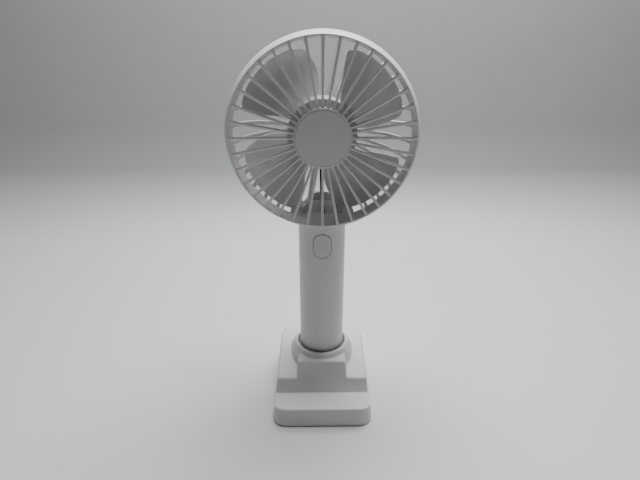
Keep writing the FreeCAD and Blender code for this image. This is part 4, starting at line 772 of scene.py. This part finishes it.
@dataclass
class Impeller:
    """Hub cup and four broad blades in one moulding.

    The blade's table gives, at rising radii, the angles of its trailing and leading edges
    anticlockwise from +X, seen from the front, and the depth of the back of its leading edge.
    The rise gives, at falling angles, the share of that depth that the blade has climbed.
    """

    height: float
    hub_radius: float = 19.6
    hub_wall: float = 1.5
    hub_front: float = 9.0
    hub_back: float = 23.0
    boss_radius: float = 4.0
    boss_back: float = 13.1
    shaft_radius: float = 1.0
    shaft_front: float = 9.9
    blades: int = 4
    tip: float = 47.5
    shoulder: float = 43.5
    thick: float = 1.3
    trail_depth: float = 9.6
    leading_power: float = 2.7
    trailing_power: float = 3.3
    edge_power: float = 24
    tip_thinning: float = 0.3
    root_flare: tuple[float, float] = (0.6, 0.8)
    table: Table = (
        (18.85, 150.0, 93.0, 22.6), (26.0, 157.5, 92.0, 22.6), (33.0, 161.5, 94.0, 22.4),
        (41.0, 163.0, 99.0, 20.0), (47.5, 163.5, 104.5, 13.0),
    )
    rise: Table = ((170, -0.14), (152, 0.12), (134, 0.42), (116, 0.74), (100, 1.0), (84, 1.24))

    def hub(self) -> Skin:
        """Cup with a rounded front edge and a boss on the shaft.

        Returns:
            The hub.
        """
        inner = self.hub_radius - self.hub_wall
        floor = self.hub_front + self.hub_wall
        return spun_head(softened([
            (0, self.hub_front, 0), (self.hub_radius, self.hub_front, 1.2),
            (self.hub_radius, self.hub_back, 0.4), (inner, self.hub_back, 0.4), (inner, floor, 1.2),
            (self.boss_radius, floor, 0.5), (self.boss_radius, self.boss_back, 0.3),
            (self.shaft_radius, self.boss_back, 0.05), (self.shaft_radius, self.shaft_front, 0),
            (0, self.shaft_front, 0),
        ], 8), self.height, 150, closed=False)

    def blade(self) -> Skin:
        """One blade: a thin soft-edged section carried out along the radius.

        Across the chord the depth rises with the angle from the trailing edge. Beyond the
        shoulder each half of the chord shrinks by (1 - s ** n) ** (1 / n), where s runs from 0 at
        the shoulder to 1 at the tip. This rounds both corners, and a larger n leaves the trailing
        one fuller.

        Returns:
            The blade at its first place.
        """
        table = smooth_line(list(self.table), 120)
        radius = np.concatenate([
            np.linspace(self.table[0][0], self.shoulder, 22),
            self.shoulder + (self.tip - self.shoulder) * np.sin(np.linspace(0, np.pi / 2, 18)[1:]),
        ])
        trail, lead, back = (np.interp(radius, table[:, 0], table[:, column]) for column in (1, 2, 3))
        outwards = np.clip((radius - self.shoulder) / (self.tip - self.shoulder), 0, 1)
        shrink, trail_shrink = ((1 - outwards[:, None] ** power) ** (1 / power)
                                for power in (self.leading_power, self.trailing_power))
        chord = np.sin(np.linspace(-np.pi / 2, np.pi / 2, 30))
        swell = np.sqrt(1 - np.abs(chord) ** self.edge_power)
        place = np.concatenate([chord, chord[-2:0:-1]])
        side = np.concatenate([swell, -swell[-2:0:-1]])
        middle, half = (trail + lead) / 2, (lead - trail) / 2
        angle = middle[:, None] + half[:, None] * place * np.where(place > 0, shrink, trail_shrink)
        share = np.polyval(np.polyfit(*np.array(self.rise).T, 4), angle)
        climb = back - self.thick - self.trail_depth
        size, fade = self.root_flare
        root = size * np.exp((self.hub_radius - radius[:, None]) / fade)
        body = self.thick / 2 * (trail_shrink ** self.tip_thinning) + root
        depth = self.trail_depth + self.thick / 2 + climb[:, None] * share + body * side[None, :]
        turn = np.radians(angle)
        return Skin.capped(beside(radius[:, None] * np.cos(turn), depth,
                                  self.height + radius[:, None] * np.sin(turn)))

    def build(self) -> None:
        """Make the impeller."""
        angles = np.arange(self.blades) * ROUND / self.blades
        whole = Skin.joined([self.hub(), self.blade().turned(angles, self.height)])
        Piece("impeller_moulding", whole, "spinner", BLADE_WHITE_WITH_PAINTED_SHADE, Slot.BLADES, ("impeller",)).make()


# ---------------------------------------------------------------- the handle


def pill_reach(direction: Array, half: float, flat: float) -> Array:
    """Distance from the centre of a round-ended slot to its outline.

    Args:
        direction: Angle from the slot's short way, in radians.
        half: Half its width, which is the radius of its ends.
        flat: Distance from its centre to the centre of each end.

    Returns:
        half / cos on the straight sides, and flat * sin + sqrt(half² - flat² * cos²) on the ends.
    """
    cosine, sine = np.abs(np.cos(direction)), np.abs(np.sin(direction))
    side = half / np.maximum(cosine, 1e-9)
    end = flat * sine + np.sqrt(np.maximum(half ** 2 - (flat * cosine) ** 2, 0))
    return np.where(side * sine <= flat, side, end)


@dataclass
class Slit:
    """A hole through the handle's wall.

    Attributes:
        middle: Where its centre lies, as the distance round the handle and the height.
        half: Half its width.
        flat: Distance from its centre to the centre of each round end.
        upright: Its long way is upright.
        edge: Rounding of its outer edge.
    """

    middle: tuple[float, float]
    half: float
    flat: float = 0.0
    upright: bool = True
    edge: float = 0.3

    def outline(self, direction: Array, grown: float) -> Array:
        """Points of the hole's outline, grown outwards, in the directions given.

        Args:
            direction: Angle of each point from the sideways direction, in radians.
            grown: How far the outline is grown.

        Returns:
            Place round the handle and height of each point.
        """
        turn = direction if self.upright else direction + np.pi / 2
        reach = pill_reach(turn, self.half + grown, self.flat)
        return np.array(self.middle) + reach[:, None] * beside(np.cos(direction), np.sin(direction))


@dataclass
class Handle:
    """Round tube with a slot for the button, a charging port and two screw holes, and its end cap.

    The tube is worked out as a flat map of distance round the handle and height, which is then
    wrapped round the axis. The distance is 0 at the front and grows towards the right.
    """

    axis_depth: float
    head_height: float
    radius: float = 14.35
    wall: float = 1.8
    foot: float = 7.0
    cap_foot: float = 5.0
    cap_top: float = 12.0
    button_height: float = 103.8
    button_half: float = 5.45
    button_flat: float = 2.25
    button_gap: float = 0.3
    button_proud: float = 0.15
    port_height: float = 92.0
    port_half: float = 1.88
    port_flat: float = 2.84
    screw_side: float = 5.0
    screw_height: float = 115.0
    screw_radius: float = 1.7
    columns: int = 44
    levels: tuple[float, ...] = (7.0, 86.5, 95.0, 112.4, 117.1)
    rows: tuple[int, ...] = (40, 12, 18, 10, 12)
    rim_outer: float = 53.3
    rim_swell: float = 2.4
    rim_run: float = 8.0
    rim_widest: float = 7.0
    rim_fit: float = 0.1
    scoop: Table = ((9.5, 53.4), (18.5, 51.5), (24.8, 44.4), (29.0, 39.1))
    band_gap: float = 0.25
    rings: int = 12
    ring_growth: float = 1.3
    cap_fit: float = 0.1
    cap_inset: float = 1.5
    cap_seam: float = 0.05
    button_edge: float = 0.45
    button_skirt: float = 0.9
    mark_blades: int = 3
    mark_reach: float = 2.1
    mark_fullness: float = 0.8
    mark_swirl: float = 0.35
    mark_dot: float = 0.5
    mark_depth: float = 0.11
    mark_soft: tuple[float, float] = (0.07, 0.05)

    def wrapped(self, flat: Array, inset: Array | float) -> Array:
        """Wrap points of the flat map round the axis, some way inside the outer surface.

        Args:
            flat: Place round the handle and height of each point.
            inset: How far inside the outer surface they lie.

        Returns:
            The points in space.
        """
        turn = flat[..., 0] / self.radius
        reach = self.radius - inset
        return beside(reach * np.sin(turn), self.axis_depth - reach * np.cos(turn), flat[..., 1])

    def top(self, round_distance: Array) -> Array:
        """Height of the tube's scooped end: the head's round outline at each place, less a fit.

        In front of the guard's widest ring the outline is rim_outer - rim_swell * (run / rim_run) ** 2,
        where run is the distance to that ring, and behind it the outline follows the scoop's table.

        Args:
            round_distance: Place round the handle, in millimetres from its front.

        Returns:
            The height there.
        """
        turn = round_distance / self.radius
        across, depth = self.radius * np.sin(turn), self.axis_depth - self.radius * np.cos(turn)
        run = np.maximum(self.rim_widest - depth, 0)
        bulge = self.rim_outer + self.rim_fit - self.rim_swell * (run / self.rim_run) ** 2
        reach = np.minimum(np.interp(depth, *np.array(self.scoop).T), bulge)
        return self.head_height - np.sqrt(reach ** 2 - across ** 2)

    def level(self, number: int, round_distance: Array) -> Array:
        """Height of a band's lower edge; the last one is the tube's end.

        Args:
            number: The band.
            round_distance: Place round the handle, in millimetres from its front.

        Returns:
            The height there.
        """
        if number == len(self.levels):
            return self.top(round_distance)
        return np.minimum(np.full_like(round_distance, self.levels[number]),
                          self.top(round_distance) - self.band_gap * (len(self.levels) - number))

    def edges(self, number: int, start: float, stop: float) -> tuple[Array, Array, Array]:
        """Places round the handle along part of a band, and the heights of its two edges there.

        Args:
            number: The band.
            start: Where the part starts round the handle.
            stop: Where it ends.

        Returns:
            The places, the lower heights and the upper heights.
        """
        count = round(self.columns * (stop - start) / (np.pi * self.radius))
        place = np.linspace(start, stop, count + 1)
        return place, self.level(number, place), self.level(number + 1, place)

    def strip(self, number: int, start: float, stop: float, inset: float) -> Skin:
        """Plain part of a band between two distances round the handle.

        Args:
            number: The band.
            start: Where the part starts round the handle.
            stop: Where it ends.
            inset: How far inside the outer surface it lies.

        Returns:
            The surface.
        """
        place, low, high = self.edges(number, start, stop)
        share = np.linspace(0, 1, self.rows[number] + 1)[:, None]
        return Skin.grid(self.wrapped(beside(place, low + (high - low) * share), inset))

    def pierced(self, number: int, start: float, stop: float, hole: Slit, inner: bool) -> Skin:
        """Part of a band with a hole: rings that grow from the hole's outline to the part's border.

        Args:
            number: The band.
            start: Where the part starts round the handle.
            stop: Where it ends.
            hole: The hole.
            inner: The inside of the wall, which has no rounding.

        Returns:
            The surface, with the hole's own wall when it is the outside.
        """
        place, low, high = self.edges(number, start, stop)
        up = np.linspace(0, 1, self.rows[number] + 1)[1:-1]
        border = np.concatenate([
            beside(place, low), beside(stop, low[-1] + (high[-1] - low[-1]) * up),
            beside(place, high)[::-1], beside(start, low[0] + (high[0] - low[0]) * up[::-1]),
        ])
        offset = border - np.array(hole.middle)
        direction = np.arctan2(offset[:, 1], offset[:, 0])
        grow = np.linspace(0, 1, self.rings)[1:, None, None] ** self.ring_growth
        base = hole.outline(direction, 0.0 if inner else hole.edge)
        rings = base[None] + (border - base)[None] * grow
        if inner:
            flat = np.concatenate([base[None], rings])
            return Skin.grid(self.wrapped(flat, self.wall), wrap_columns=True)
        turn = np.linspace(0, np.pi / 2, 6)
        edge = np.stack([hole.outline(direction, hole.edge * (1 - math.cos(angle))) for angle in turn])
        drop = hole.edge * (1 - np.sin(turn))
        flat = np.concatenate([edge[:1], edge, rings])
        inset = np.concatenate([[self.wall], drop, np.zeros(len(rings))])[:, None]
        return Skin.grid(self.wrapped(flat, inset), wrap_columns=True)

    def tube(self) -> Skin:
        """The tube: bands inside and outside, the holes' walls and the two end rings.

        Returns:
            The closed surface.
        """
        half, whole = np.pi * self.radius / 2, np.pi * self.radius
        button = Slit((0.0, self.button_height), self.button_half + self.button_gap, self.button_flat)
        port = Slit((whole, self.port_height), self.port_half, self.port_flat, upright=False)
        screws = [Slit((whole + side * self.screw_side, self.screw_height), self.screw_radius, edge=0.2)
                  for side in (-1, 1)]
        holes = {(1, 1): [(half, 3 * half, port)], (2, 0): [(-half, half, button)],
                 (3, 1): [(half, whole, screws[0]), (whole, 3 * half, screws[1])]}
        skins = []
        for number in range(len(self.levels)):
            for side, (start, stop) in enumerate(((-half, half), (half, 3 * half))):
                for inner in (False, True):
                    pierced = holes.get((number, side), [])
                    skins += [self.pierced(number, first, last, hole, inner) for first, last, hole in pierced]
                    if not pierced:
                        skins.append(self.strip(number, start, stop, self.wall if inner else 0.0))
        place = np.linspace(-half, 3 * half, 2 * self.columns + 1)
        for heights in (self.level(0, place), self.top(place)):
            flat = beside(place, heights)
            skins.append(Skin.grid(np.stack([self.wrapped(flat, 0.0), self.wrapped(flat, self.wall)])))
        return Skin.joined(skins)

    def end_cap(self) -> Skin:
        """Cap that closes the tube's lower end.

        Returns:
            The cap.
        """
        skirt, inner = self.radius - self.wall - self.cap_fit, self.radius - self.wall - self.cap_inset
        seam = self.foot - self.cap_seam
        return spun_upright(softened([
            (0, self.cap_foot, 0), (self.radius, self.cap_foot, 0.9), (self.radius, seam, 0.2),
            (skirt, seam, 0.1), (skirt, self.cap_top, 0.3), (inner, self.cap_top, 0.2),
            (inner, self.foot, 0.3), (0, self.foot, 0),
        ]), self.axis_depth)

    def glyph(self, flat: Array) -> Array:
        """Depth of the mark on the button: three short blades round a dot, sunk a little.

        A blade is where the distance from the centre is under
        mark_reach * |cos(mark_blades / 2 * angle)| ** mark_fullness.

        Args:
            flat: Place round the handle and height of each point.

        Returns:
            How deep each point is sunk.
        """
        offset = flat - np.array([0.0, self.button_height])
        reach = np.hypot(offset[..., 0], offset[..., 1])
        angle = np.arctan2(offset[..., 1], offset[..., 0]) + reach * self.mark_swirl
        edge = self.mark_reach * np.abs(np.cos(self.mark_blades / 2 * angle)) ** self.mark_fullness
        rim_soft, dot_soft = self.mark_soft
        within, beyond_dot = np.exp((reach - edge) / rim_soft), np.exp((self.mark_dot - reach) / dot_soft)
        return self.mark_depth / (1 + within) / (1 + beyond_dot)

    def button(self) -> Skin:
        """Round-ended cap on the handle's own curve, with a softened edge and a sunk mark.

        Returns:
            The cap.
        """
        direction = np.linspace(0, ROUND, 144, endpoint=False)
        slot = Slit((0.0, self.button_height), self.button_half, self.button_flat)
        edge = self.button_edge
        turn = np.linspace(0, np.pi / 2, 7)
        rim = np.stack([slot.outline(direction, -edge * (1 - math.cos(angle))) for angle in turn])
        inset = edge * (1 - np.sin(turn)) - self.button_proud
        shrink = np.linspace(1, 0, 48)[1:, None, None]
        middle = np.array([0.0, self.button_height])
        face = middle + (rim[-1] - middle)[None] * shrink
        flat = np.concatenate([rim[:1], rim, face])
        depth = np.concatenate([np.full((1, len(direction)), self.wall + self.button_skirt),
                                np.broadcast_to(inset[:, None], (len(turn), len(direction))),
                                self.glyph(face) - self.button_proud])
        return Skin.capped(self.wrapped(flat, depth))

    def build(self) -> None:
        """Make the tube, its cap and the button."""
        Piece("handle_moulding", self.tube(), "fan", WHITE, Slot.SHELL, ("handle_tube",)).make()
        Piece("handle_bottom_cap", self.end_cap(), "fan", WHITE, Slot.SHELL, ("handle_end_cap",)).make()
        Piece("power_button_cap", self.button(), "button", BUTTON_WHITE, Slot.BUTTON,
              ("power_button",)).make()


# ---------------------------------------------------------------- the base


def round_cut(first: Array, second: Array, radius: float) -> Array:
    """Signed distance of what two solids share, its edge rounded by radius."""
    over = np.hypot(np.maximum(radius + first, 0), np.maximum(radius + second, 0))
    return np.minimum(-radius, np.maximum(first, second)) + over


def round_join(first: Array, second: Array, radius: float) -> Array:
    """Signed distance of two solids together, their corner filled by a fillet of radius."""
    under = np.hypot(np.maximum(radius - first, 0), np.maximum(radius - second, 0))
    return np.maximum(radius, np.minimum(first, second)) - under


def rounded_corner(side: Array, end: Array, radius: float) -> Array:
    """Signed distance of a corner's round, from how far past its centre each side lies."""
    return np.minimum(np.maximum(side, end), 0) + np.hypot(np.maximum(side, 0), np.maximum(end, 0)) - radius


def sloped(rise: Array, run: Array, slope: float) -> Array:
    """Signed distance from a plane that rises by tan(slope) for each step of the run."""
    return (rise - run * math.tan(slope)) * math.cos(slope)


@dataclass
class PhoneStandBase:
    """Base with a phone shelf, a T-shaped backrest, a rising plateau and a collared socket.

    The block meets its shelf, step, panel and collar in rounded edges and fillets that run into
    one another, so the surface is drawn where a signed distance is zero rather than as a table
    of two parameters. Distances are worked out for whole arrays of points.
    """

    low: Array
    high: Array
    axis_depth: float
    draft: float = math.radians(5.8)
    front_corner: float = 8.0
    rear_corner: float = 11.0
    seat_depth: float = -13.7
    seat_height: float = 5.4
    shelf_fall: float = math.radians(18.8)
    back_lean: float = math.radians(20.0)
    step_height: float = 14.5
    plateau_slope: float = math.radians(16.5)
    panel_half: float = 15.5
    panel_spread: float = 0.05
    panel_top: float = 25.0
    panel_corner: float = 2.2
    collar_top: float = 27.9
    collar_outer: float = 18.0
    collar_flare: float = math.radians(24.4)
    mouth: float = 16.0
    mouth_ledge: float = 21.0
    mouth_bottom: float = 19.0
    bore: float = 14.55
    floor: float = 4.0
    plate_half: float = 26.65
    plate_front: float = -34.8
    plate_rear: float = 32.16
    plate_roof: float = 2.3
    lip_round: float = 1.2
    edge_round: float = 0.7
    panel_fillet: float = 0.9
    foot_fillet: float = 0.35
    collar_round: float = 0.35
    collar_fillet: float = 0.35
    under_round: float = 0.4
    mouth_round: float = 0.4
    cell: float = 0.5
    cell_shift: float = 0.37
    margin: float = 2.0
    passes: int = 6
    probe: float = 0.02
    least_slope: float = 0.25

    def block(self, across: Array, depth: Array, height: Array) -> Array:
        """Drafted block: a rectangle with rounded corners that shrinks with height.

        Args:
            across: Sideways place of each point.
            depth: Depth of each point.
            height: Height of each point.

        Returns:
            Signed distance from the block.
        """
        shrink = (height - self.low[2]) * math.tan(self.draft)
        corner = np.where(depth < 0, self.front_corner, self.rear_corner)
        half_width = (self.high[0] - self.low[0]) / 2 - shrink
        half_length = (self.high[1] - self.low[1]) / 2 - shrink
        side = np.abs(across) - half_width + corner
        end = np.abs(depth - (self.high[1] + self.low[1]) / 2) - half_length + corner
        return rounded_corner(side, end, corner) * math.cos(self.draft)

    def top(self, across: Array, depth: Array, height: Array) -> Array:
        """Shelf, step and plateau, and the raised middle panel of the backrest.

        Args:
            across: Sideways place of each point.
            depth: Depth of each point.
            height: Height of each point.

        Returns:
            Signed distance from all of them together.
        """
        shelf = sloped(height - self.seat_height, self.seat_depth - depth, self.shelf_fall)
        rest = -sloped(depth - self.seat_depth, height - self.seat_height, self.back_lean)
        step_depth = self.seat_depth + (self.step_height - self.seat_height) * math.tan(self.back_lean)
        plateau = sloped(height - self.step_height, depth - step_depth, self.plateau_slope)
        half = self.panel_half + (self.panel_top - height) * self.panel_spread
        side = np.abs(across) - half + self.panel_corner
        lid = height - self.panel_top + self.panel_corner
        panel = np.maximum(rounded_corner(side, lid, self.panel_corner), depth - self.axis_depth)
        behind = round_cut(rest, round_join(plateau, panel, self.panel_fillet), self.edge_round)
        return round_join(shelf, behind, self.foot_fillet)

    def distance(self, points: Array) -> Array:
        """Signed distance from the base's surface, negative inside.

        Args:
            points: Array of points whose last axis holds three coordinates in millimetres.

        Returns:
            One distance for each point.
        """
        across, depth, height = points[..., 0], points[..., 1], points[..., 2]
        block, top = self.block(across, depth, height), self.top(across, depth, height)
        reach = np.hypot(across, depth - self.axis_depth)
        cone = sloped(reach - self.collar_outer, self.collar_top - height, self.collar_flare)
        collar = round_cut(cone, height - self.collar_top, self.collar_round)
        body = round_cut(block, round_join(top, collar, self.collar_fillet), self.lip_round)
        body = round_cut(body, self.low[2] - height, self.under_round)
        share = np.clip((height - self.mouth_bottom) / (self.mouth_ledge - self.mouth_bottom), 0, 1)
        socket = reach - (self.bore + (self.mouth - self.bore) * share)
        socket = np.maximum(socket, self.floor - height)
        body = round_cut(body, -socket, self.mouth_round)
        middle = (self.plate_rear + self.plate_front) / 2
        recess = np.maximum(np.abs(across) - self.plate_half,
                            np.abs(depth - middle) - (self.plate_rear - self.plate_front) / 2)
        recess = np.maximum(recess, height - self.plate_roof)
        return np.maximum(body, -recess)

    def skin(self) -> Skin:
        """Surface where the distance is zero.

        Space is divided into cubes. Each cube whose corners lie on both sides gets one point, the
        mean of the places where its edges cross the surface, and the four cubes round each
        crossed edge give one face. The points are then moved along the slope of the distance
        until it is zero.

        Returns:
            The closed surface.
        """
        counts = np.ceil((self.high - self.low + 2 * self.margin) / self.cell).astype(int)
        lines = [self.low[axis] - self.margin + self.cell * (np.arange(counts[axis] + 1) + self.cell_shift)
                 for axis in range(3)]
        places = beside(*np.ix_(*lines))
        values = self.distance(places)
        total, number = np.zeros((*counts, 3)), np.zeros(counts)
        crossings = []
        for axis in range(3):
            start = np.take(values, range(counts[axis]), axis)
            stop = np.take(values, range(1, counts[axis] + 1), axis)
            crossed = (start < 0) != (stop < 0)
            share = np.where(crossed, start / np.where(crossed, start - stop, 1), 0)
            along = share[..., None] * self.cell * np.eye(3)[axis]
            point = np.take(places, range(counts[axis]), axis) + along
            crossings.append(crossed)
            others = [other for other in range(3) if other != axis]
            for shifts in ((0, 0), (0, 1), (1, 0), (1, 1)):
                window = [slice(None)] * 3
                for other, shift in zip(others, shifts):
                    window[other] = slice(shift, shift + counts[other])
                inside = crossed[tuple(window)]
                total += np.where(inside[..., None], point[tuple(window)], 0)
                number += inside
        held = number > 0
        index = np.full(counts, -1)
        index[held] = np.arange(held.sum())
        points = total[held] / number[held][:, None]
        faces = []
        for axis in range(3):
            others = [other for other in range(3) if other != axis]
            cell = np.argwhere(crossings[axis])
            cell = cell[(cell[:, others[0]] > 0) & (cell[:, others[1]] > 0)]
            corners = []
            for shifts in ((0, 0), (1, 0), (1, 1), (0, 1)):
                near = cell.copy()
                near[:, others] -= shifts
                corners.append(index[tuple(near.T)])
            faces.append(beside(*corners))
        for _ in range(self.passes):
            slope = np.stack([self.distance(points + step) - self.distance(points - step)
                              for step in self.probe * np.eye(3)], axis=-1) / (2 * self.probe)
            steep = np.maximum((slope ** 2).sum(axis=1), self.least_slope)[:, None]
            points -= self.distance(points)[:, None] * slope / steep
        return Skin(points, np.concatenate(faces))

    def build(self) -> None:
        """Make the base shell."""
        Piece("base_moulding", self.skin(), "stand", BASE_WHITE, Slot.SHELL, ("base_shell",), 30.0).make()


# ---------------------------------------------------------------- the pieces kept from the design


def dress_inner_pieces() -> None:
    """Give every CAD node its finish by the material slot that the record states for it."""
    slots = {part["node"]: part["material_slot"] for part in frame["record"]["subparts"]}
    for name, item in frame["nodes"].items():
        item.data.materials.clear()
        item.data.materials.append(INNER_FINISHES[slots[name]].material())
        log.info("%s keeps its shape and gets %s", name, slots[name])


# ---------------------------------------------------------------- floor, light and camera


@dataclass
class Studio:
    """Pale floor that curves up into a backdrop, soft light from above and behind, and the camera.

    Lengths are millimetres and angles radians. The paper darkens as it rises to paper_rise.
    """

    floor_half: float = 1500.0
    backdrop: float = 300.0
    curve: float = 70.0
    backdrop_top: float = 1500.0
    camera_at: tuple[float, float, float] = (-4.6, -243.6, 218.3)
    camera_down: float = math.radians(24.26)
    camera_right: float = math.radians(0.76)
    camera_roll: float = math.radians(0.09)
    sensor: float = 36.0
    view_scale: float = 455 / 640
    near: float = 0.01
    far: float = 20.0
    paper_low: tuple[float, float, float] = (0.66, 0.675, 0.675)
    paper_high: tuple[float, float, float] = (0.40, 0.41, 0.41)
    paper_rise: float = 120.0
    paper_roughness: float = 0.6
    lamp_at: tuple[float, float, float] = (70, 205, 640)
    lamp_towards: tuple[float, float, float] = (0, 40, 0)
    lamp_size: float = 460.0
    lamp_watts: float = 10.3
    surround: tuple[float, float, float, float] = (0.058, 0.060, 0.061, 1)

    def floor(self) -> None:
        """Floor, quarter-round curve and wall: one profile carried across."""
        turn = np.linspace(0, np.pi / 2, 24)
        curve = beside(self.backdrop - self.curve + self.curve * np.sin(turn),
                       self.curve * (1 - np.cos(turn)))
        profile = np.vstack([[-self.floor_half, 0], curve, [self.backdrop, self.backdrop_top]])
        across = np.linspace(self.floor_half, -self.floor_half, 3)[:, None]
        item = drawn("backdrop", Skin.grid(beside(across, *profile.T)))
        item.data.shade_smooth()
        item.data.materials.append(self.paper())

    def paper(self) -> bpy.types.Material:
        """Matt paper that is seen from its front only, so that it hides nothing from behind.

        Returns:
            The material.
        """
        tree = NodeTree("backdrop_paper")
        tree.put(tree.shader, Roughness=self.paper_roughness)
        place, height = tree.add("TexCoord"), tree.add("SeparateXYZ")
        rise = tree.add("MapRange", From_Max=self.paper_rise * METRES)
        tint = tree.ramp((0, 1), (self.paper_low, self.paper_high))
        side, clear, mixed = tree.add("NewGeometry"), tree.add("BsdfTransparent"), tree.add("MixShader")
        output = tree.material.node_tree.nodes["Material Output"]
        tree.join((place, "Object", height, "Vector"), (height, "Z", rise, "Value"),
                  (rise, "Result", tint, "Fac"), (tint, "Color", tree.shader, "Base Color"),
                  (side, "Backfacing", mixed, "Fac"), (tree.shader, "BSDF", mixed, 1),
                  (clear, "BSDF", mixed, 2), (mixed, "Shader", output, "Surface"))
        return tree.material

    def lights(self) -> None:
        """A broad square light above and behind, and an even grey surround."""
        light = bpy.data.lights.new("overhead", "AREA")
        light.size, light.energy = self.lamp_size * METRES, self.lamp_watts
        item = bpy.data.objects.new("overhead", light)
        bpy.context.scene.collection.objects.link(item)
        at, towards = (Vector(value) * METRES for value in (self.lamp_at, self.lamp_towards))
        item.location = at
        item.rotation_euler = (towards - at).to_track_quat("-Z", "Y").to_euler()
        world = bpy.data.worlds.new("surround")
        world.use_nodes = True
        world.node_tree.nodes["Background"].inputs["Color"].default_value = self.surround
        bpy.context.scene.world = world

    def camera(self) -> None:
        """Camera: looks along +Y, turned right and down by its two angles."""
        lens = bpy.data.cameras.new("camera")
        lens.lens, lens.sensor_width = self.view_scale * self.sensor, self.sensor
        lens.clip_start, lens.clip_end = self.near, self.far
        item = bpy.data.objects.new("camera", lens)
        item.location = [value * METRES for value in self.camera_at]
        turn = Matrix.Rotation(-self.camera_right, 4, "Z") @ Matrix.Rotation(
            math.pi / 2 - self.camera_down, 4, "X") @ Matrix.Rotation(self.camera_roll, 4, "Z")
        item.rotation_euler = turn.to_euler()
        bpy.context.scene.collection.objects.link(item)
        bpy.context.scene.camera = item

    def build(self) -> None:
        """Make all of it."""
        self.floor()
        self.lights()
        self.camera()


def main() -> None:
    """Build the fan and its studio."""
    guard_low, guard_high = span("front_guard")
    cap_low, cap_high = span("handle_end_cap")
    base_low, base_high = span("base_shell")
    height = float(guard_low[2] + guard_high[2]) / 2
    axis_depth = float(cap_low[1] + cap_high[1]) / 2
    Studio().build()
    dress_inner_pieces()
    FrontGuard(height).build()
    RearShell(height, axis_depth).build()
    Impeller(height).build()
    Handle(axis_depth, height).build()
    PhoneStandBase(base_low, base_high, axis_depth).build()


if __name__ == "__main__":
    logging.basicConfig(level=logging.INFO, format="%(message)s")
    main()
